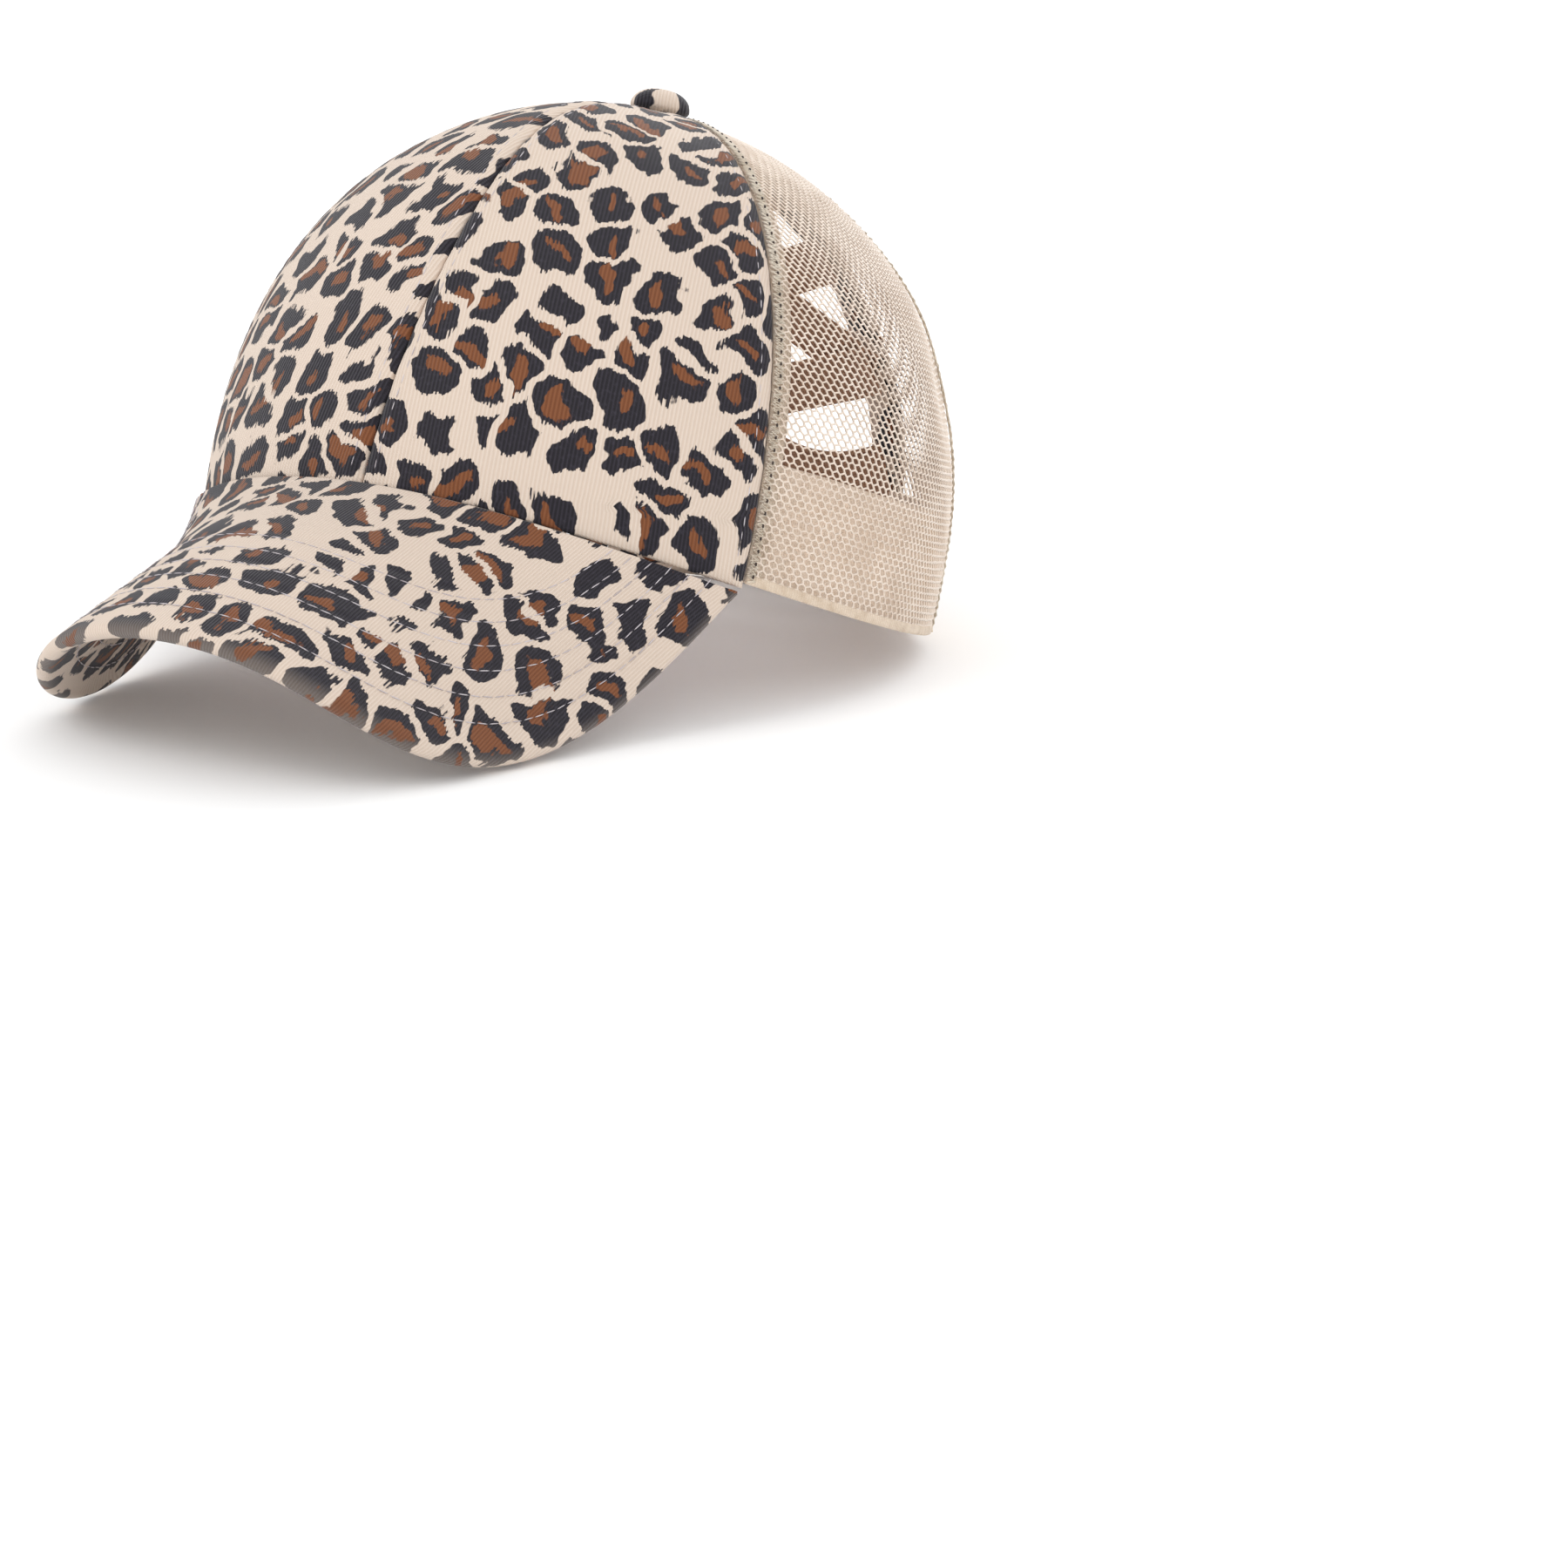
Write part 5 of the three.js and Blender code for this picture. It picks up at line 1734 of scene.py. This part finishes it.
# Sizes of the dark marks of painted shade in the closure's needle holes
HOLE_LENGTH = 0.9 * MM
HOLE_RADIUS = 0.16 * MM
STITCH_TO_BOTTOM = 2.5 * MM
STITCH_TO_TOP = 3.2 * MM
STITCH_TO_END = 2.4 * MM
STRAP_LINE_STEPS = 120
SEAM_LINE_STEPS = 140
SEAM_LINE_END = 6 * MM
BRIM_LINE_STEPS = 260
BRIM_LINE_START = 0.03
CENTRE_ROW = {"start": 4 * MM, "depth": -0.3 * MM}
SIDE_ROW = {"start": 3 * MM, "depth": -0.25 * MM}


def crown_line(bearing, length, depth):
    """Line on the crown with its surface directions."""
    bearing, length = np.broadcast_arrays(np.asarray(bearing, float), np.asarray(length, float))
    share = share_at_length(bearing, length)
    return crown_at(bearing, share, depth), crown_frame(bearing, share)[2]


def beside_seam(bearing, aside, start, depth):
    """Line at a distance beside a seam, from a length above the rim to near the top."""
    length = np.linspace(start, float(cloth_length(bearing)) - SEAM_LINE_END, SEAM_LINE_STEPS)
    around = crown_frame(bearing, share_at_length(bearing, length))[0]
    return crown_line(bearing + aside / around, length, depth)


def brim_line(inward, side):
    """Lines on a face of the brim at a distance inside its edge, clear of the rim."""
    share = np.linspace(-ROW_REACH, ROW_REACH, BRIM_LINE_STEPS)
    row = 1 - inward / brim_width(share)
    kept = row > BRIM_LINE_START
    normal = brim_normal(share, row) * side
    points = brim_middle(share, row) + normal * (BRIM_THICKNESS / 2 + THREAD_LIFT)
    places = np.nonzero(kept)[0]
    parts = np.split(places, np.nonzero(np.diff(places) > 1)[0] + 1)
    return [(points[part], normal[part]) for part in parts if len(part) > SHORTEST_PART]


def strap_line(places, lengths):
    """Line on the closure's outer face with its surface directions."""
    bearing, share = rear_place(places, lengths)
    return crown_at(bearing, share, -CLOSURE_PROUD), crown_frame(bearing, share)[2]


def strap_lines(shift):
    """Two rows along the closure and one across its end, each starting a shift further in."""
    level = np.ones(STRAP_LINE_STEPS)
    end = STITCH_TO_END - CLOSURE_END
    top = CLOSURE_HEIGHT - STITCH_TO_TOP
    span = np.linspace(OPENING_EDGE - 1 * MM - shift, end, STRAP_LINE_STEPS)
    rows = [strap_line(span, length * level) for length in (STITCH_TO_BOTTOM, top)]
    across = np.linspace(STITCH_TO_BOTTOM + shift, top, STRAP_LINE_STEPS)
    return [*rows, strap_line(end * level, across)]


class CAP_OT_stitches(bpy.types.Operator):
    """Sew the rows of stitches"""

    bl_idname = "cap.stitches"
    bl_label = "Stitches"

    def execute(self, context):
        settings = context.scene.cap_stitch
        tree = stitch_tree()
        grey, cream, hole_shade = (thread(name) for name in ("stitch_thread", "cream_thread", "needle_hole_shade"))
        brim_rows = []
        for number in range(settings.rows):
            inward = FIRST_ROW + number * settings.row_gap
            brim_rows += brim_line(inward, 1) + brim_line(inward, -1)
        seam_rows = [beside_seam(0.0, hand * STITCH_TO_SEAM, **CENTRE_ROW) for hand in (-1, 1)]
        for hand in (1, -1):
            seam_rows.append(beside_seam(hand * FRONT_SEAM, -hand * PANEL_STITCH_TO_SEAM, **SIDE_ROW))
        sewing = (
            ("brim_stitches", brim_rows, settings.pitch, settings.length, settings.radius, grey),
            ("seam_stitches", seam_rows, SEAM_STITCH_PITCH, SEAM_STITCH_LENGTH, settings.radius, grey),
            ("closure_stitches", strap_lines(0), STRAP_STITCH_PITCH, STRAP_STITCH_LENGTH,
             STRAP_STITCH_RADIUS, cream),
            # Painted shade: dark marks between the closure stitches stand for the shade in the needle holes
            ("closure_hole_shade", strap_lines(STRAP_STITCH_PITCH / 2), STRAP_STITCH_PITCH,
             HOLE_LENGTH, HOLE_RADIUS, hole_shade),
        )
        for name, rows, pitch, length, radius, finish in sewing:
            grow_piece(
                name, tree, rows, finish, "printed_cotton",
                Pitch=pitch, Stitch_Length=length, Radius=radius)
        return {"FINISHED"}


SEAM_FOLD = 5.2 * MM
SEAM_FOLD_COUNTS = (10, 150)
SEAM_FOLD_CLOTH = 0.7 * MM
SEAM_FOLD_START = 0.3 * MM
SEAM_FOLD_SINK = 0.5 * MM
SEAM_FOLD_RIPPLE = 0.1 * MM
SEAM_FOLD_RIPPLE_LENGTH = 0.5 * MM
SEAM_FOLD_RIPPLE_TURNS = 9
SEAM_FOLD_END = 4 * MM
FULL_WIDTH_ABOVE = 40 * MM
OVERLOCK_START = 0.5 * MM
OVERLOCK_END = 3 * MM
OVERLOCK_SPREAD = 0.2
OVERLOCK_LIFT = 0.08
OVERLOCK_RADIUS = 0.26 * MM
FRONT_OVERLOCK = {"near": 0.2 * MM, "far": 2.2 * MM, "depth": -0.1 * MM, "pitches": (1.5 * MM, 1.25 * MM)}
REAR_OVERLOCK_COLUMNS = ("reach", "pitch", "depth", "seed")
REAR_OVERLOCKS = ((1.3 * MM, 2 * MM, -0.25 * MM, 5), (0.4 * MM, 1.6 * MM, -0.1 * MM, 6))
# Dark marks of painted shade in the needle holes beside the front seams
NET_HOLE_TO_SEAM = 1.5 * MM
NET_HOLE_ROW = {"start": 2 * MM, "depth": -0.3 * MM}
NET_HOLE_PITCH = 2.9 * MM
NET_HOLE_LENGTH = 1.0 * MM
NET_HOLE_RADIUS = 0.3 * MM
BINDING_ZIGZAGS = 150
BINDING_ZIGZAG_ENDS = (0.02, 1.97)
BINDING_ZIGZAG_EDGES = (0.55, 1.0)
BINDING_ZIGZAG_SPREAD = 0.09
BINDING_THREAD_RADIUS = 0.17 * MM
BINDING_THREAD_LIFT = 0.12 * MM
FRAYED_THREADS = 90
FRAYED_RADIUS = 0.11 * MM
FRAYED_STEPS = 14
FRAYED_STEP = 0.5 * MM
FRAYED_DRIFT = 4 * MM
FRAYED_BEARING_SPREAD = 0.28
FRAYED_ROOTS = (11, 20)
FRAYED_LIMITS = (2 * MM, 30 * MM)
FRAYED_DEPTH = TAPE_ON_LINING + 6.5 * MM


def overlock(bearing, near, far, pitch, depth, seed):
    """Zigzag of thread along a seam, between two distances beside it."""
    chance = np.random.default_rng(seed)
    count = int(float(cloth_length(bearing)) / pitch * 2)
    length = np.linspace(OVERLOCK_START, float(cloth_length(bearing)) - OVERLOCK_END, count)
    stray = chance.uniform(-OVERLOCK_SPREAD, OVERLOCK_SPREAD, count) * MM
    aside = np.where(np.arange(count) % 2 == 0, near, far) + stray
    around = crown_frame(bearing, share_at_length(bearing, length))[0]
    lift = chance.uniform(-OVERLOCK_LIFT, OVERLOCK_LIFT, count) * MM
    return crown_line(bearing + aside / around, length, depth + lift)


class CAP_OT_seams(bpy.types.Operator):
    """Build the folded edges and the overlock threads of the net's seams"""

    bl_idname = "cap.seams"
    bl_label = "Net seams"

    def execute(self, context):
        tree = yarn_tree()
        chains = []
        holes = []
        for side, hand in SIDES:
            seam = hand * FRONT_SEAM

            def place(across, along, offset, seam=seam, hand=hand):
                length = lerp(GAP, float(cloth_length(seam)) - SEAM_FOLD_END, along)
                around = crown_frame(seam, share_at_length(seam, length))[0]
                beside = lerp(SEAM_FOLD_START, SEAM_FOLD, across) * np.minimum(1, around / FULL_WIDTH_ABOVE)
                bearing = seam + hand * beside / around
                share = share_at_length(bearing, length)
                ripple = np.sin(length / SEAM_FOLD_RIPPLE_LENGTH) * np.sin(across * SEAM_FOLD_RIPPLE_TURNS)
                depth = NET + SEAM_FOLD_SINK + offset + SEAM_FOLD_RIPPLE * ripple
                return crown_at(bearing, share, depth)

            def flat(across, along):
                return np.stack([across * SEAM_FOLD, along * PANEL_HEIGHT], axis=-1)

            fold = soft_plate(
                "seam_fold_" + side, SEAM_FOLD_COUNTS, (SEAM_FOLD, PANEL_HEIGHT), SEAM_FOLD_CLOTH / 2,
                place, flat)
            finish_piece(fold, plain("fold_cloth"), "net")
            near, far = hand * FRONT_OVERLOCK["near"], hand * FRONT_OVERLOCK["far"]
            for seed, pitch in enumerate(FRONT_OVERLOCK["pitches"]):
                chains.append(overlock(seam, near, far, pitch, FRONT_OVERLOCK["depth"], seed))
            for values in REAR_OVERLOCKS:
                row = dict(zip(REAR_OVERLOCK_COLUMNS, values))
                chains.append(overlock(
                    hand * REAR_SEAM, -row["reach"], row["reach"], row["pitch"], row["depth"], row["seed"]))
            holes.append(beside_seam(seam, hand * NET_HOLE_TO_SEAM, **NET_HOLE_ROW))
        grow_piece(
            "seam_overlock", tree, chains, thread("cream_thread"), "net",
            Radius=OVERLOCK_RADIUS, Sides=6)
        # Painted shade: dark marks beside the seam stand for the shade in the needle holes
        grow_piece(
            "seam_hole_shade", stitch_tree(), holes, thread("needle_hole_shade"), "net",
            Pitch=NET_HOLE_PITCH, Stitch_Length=NET_HOLE_LENGTH, Radius=NET_HOLE_RADIUS, Seed=9)
        return {"FINISHED"}


class CAP_OT_threads(bpy.types.Operator):
    """Lay the loose zigzag threads along the binding"""

    bl_idname = "cap.threads"
    bl_label = "Loose threads"

    def execute(self, context):
        tree = yarn_tree()
        chance = np.random.default_rng(11)
        lines = []
        for hand in (1, -1):
            share = np.linspace(*BINDING_ZIGZAG_ENDS, BINDING_ZIGZAGS)
            zigzag = np.where(np.arange(BINDING_ZIGZAGS) % 2 == 0, *BINDING_ZIGZAG_EDGES)
            zigzag += chance.uniform(-BINDING_ZIGZAG_SPREAD, BINDING_ZIGZAG_SPREAD, BINDING_ZIGZAGS)
            x, length = arch_place(BINDING_WIDTH / 2 * zigzag, share)
            on_cloth = -LAYER_GAP - BINDING_CLOTH - BINDING_THREAD_LIFT
            depth = np.where(zigzag > 0.8, -LAYER_GAP, on_cloth)
            bearing, place = rear_place(hand * x, length)
            lines.append((crown_at(bearing, place, depth), crown_frame(bearing, place)[2]))
        frayed = []
        for _ in range(FRAYED_THREADS):
            bearing = chance.normal(0, FRAYED_BEARING_SPREAD)
            length = chance.uniform(*FRAYED_ROOTS) * MM
            steps = chance.normal(0, FRAYED_STEP, (FRAYED_STEPS, 3)).cumsum(axis=0)
            steps += np.linspace(0, 1, FRAYED_STEPS)[:, None] * chance.normal(0, FRAYED_DRIFT, 3)
            lengths = np.clip(length + steps[:, 1], *FRAYED_LIMITS)
            bearings = bearing + steps[:, 0] / CROWN_HALF_WIDTH
            depths = FRAYED_DEPTH + np.abs(steps[:, 2])
            share = share_at_length(bearings, lengths)
            frayed.append((crown_at(bearings, share, depths), crown_frame(bearings, share)[2]))
        grow_piece(
            "sweatband_threads", tree, frayed, thread("frayed_thread"), "sweatband",
            Radius=FRAYED_RADIUS, Sides=4)
        grow_piece(
            "binding_threads", tree, lines, thread("cream_thread"), "printed_cotton",
            Radius=BINDING_THREAD_RADIUS, Sides=5)
        return {"FINISHED"}


# Stage

PICTURE = 1800
AIM_POINT = Vector((0, 34.0, 0.2)) * MM
AIM_PIXEL = (649, 737)
FOCAL_PIXELS = 6211
SENSOR = 36
FLOOR_HALF = 20.0
WORLD_STRENGTH = 1.0
LIGHTS = (
    ("key", (-0.9, -1.3, 1.5), 1.3, 10),
    ("fill", (1.6, -0.9, 0.9), 1.6, 3.5),
    ("back", (0.1, 1.7, 0.75), 1.2, 11),
)


def aimed_camera(settings):
    """Camera whose aim point falls on its own pixel of the picture, with no shift."""
    data = bpy.data.cameras.new("camera")
    data.sensor_width = SENSOR
    data.lens = FOCAL_PIXELS / PICTURE * SENSOR
    data.clip_start = 0.05
    camera = bpy.data.objects.new("camera", data)
    bpy.context.scene.collection.objects.link(camera)
    az, el = settings.azimuth, settings.elevation
    back = Vector((math.sin(az) * math.cos(el), -math.cos(az) * math.cos(el), math.sin(el)))
    camera.location = AIM_POINT + back * settings.distance
    right_of_middle = math.atan((AIM_PIXEL[0] - PICTURE / 2) / FOCAL_PIXELS)
    below_middle = math.atan((AIM_PIXEL[1] - PICTURE / 2) / FOCAL_PIXELS)
    facing = (-back).to_track_quat("-Z", "Y")
    turn = Quaternion((0, 1, 0), right_of_middle) @ Quaternion((1, 0, 0), below_middle)
    camera.rotation_mode = "QUATERNION"
    camera.rotation_quaternion = facing @ turn
    bpy.context.scene.camera = camera


class CAP_OT_stage(bpy.types.Operator):
    """Set the floor, the light and the camera"""

    bl_idname = "cap.stage"
    bl_label = "Stage"

    def execute(self, context):
        settings = context.scene.cap_stage
        half = FLOOR_HALF
        corners = [(-half, -half, 0), (half, -half, 0), (half, half, 0), (-half, half, 0)]
        mesh = bpy.data.meshes.new("floor")
        mesh.from_pydata(corners, [], [(0, 1, 2, 3)])
        mesh.materials.append(stage_finish(settings.paper))
        floor = bpy.data.objects.new("floor", mesh)
        context.scene.collection.objects.link(floor)
        world = bpy.data.worlds.new("studio")
        world.use_nodes = True
        background = world.node_tree.nodes["Background"].inputs
        background["Color"].default_value = (1, 1, 1, 1)
        background["Strength"].default_value = WORLD_STRENGTH
        context.scene.world = world
        context.scene.view_settings.view_transform = "Standard"
        for name, place, size, power in LIGHTS:
            data = bpy.data.lights.new(name, "AREA")
            data.size = size
            data.energy = power
            light = bpy.data.objects.new(name, data)
            light.location = place
            light.rotation_mode = "QUATERNION"
            light.rotation_quaternion = (AIM_POINT - Vector(place)).to_track_quat("-Z", "Y")
            context.scene.collection.objects.link(light)
        aimed_camera(settings)
        return {"FINISHED"}


OPERATORS = (
    CAP_OT_front_panels,
    CAP_OT_lining,
    CAP_OT_nets,
    CAP_OT_tapes,
    CAP_OT_sweatband,
    CAP_OT_brim,
    CAP_OT_bindings,
    CAP_OT_closure,
    CAP_OT_care_tab,
    CAP_OT_elastics,
    CAP_OT_button,
    CAP_OT_stitches,
    CAP_OT_seams,
    CAP_OT_threads,
    CAP_OT_stage,
)
SETTINGS = {
    "cap_print": PrintSettings,
    "cap_net": NetSettings,
    "cap_stitch": StitchSettings,
    "cap_stage": StageSettings,
}


class CAP_PT_panel(bpy.types.Panel):
    """Sizes, colours and pieces of the cap"""

    bl_label = "Ponytail cap"
    bl_space_type = "VIEW_3D"
    bl_region_type = "UI"
    bl_category = "Cap"

    def draw(self, context):
        for name, group in SETTINGS.items():
            box = self.layout.box()
            for label in group.__annotations__:
                box.prop(getattr(context.scene, name), label)
        for operator in OPERATORS:
            self.layout.operator(operator.bl_idname)


def register():
    for group in (*SETTINGS.values(), *OPERATORS, CAP_PT_panel):
        bpy.utils.register_class(group)
    for name, group in SETTINGS.items():
        setattr(bpy.types.Scene, name, PointerProperty(type=group))


def unregister():
    for name in SETTINGS:
        delattr(bpy.types.Scene, name)
    for group in (CAP_PT_panel, *reversed(OPERATORS), *reversed(SETTINGS.values())):
        bpy.utils.unregister_class(group)


def main():
    register()
    for operator in OPERATORS:
        group, name = operator.bl_idname.split(".")
        getattr(getattr(bpy.ops, group), name)()


if __name__ == "__main__":
    main()
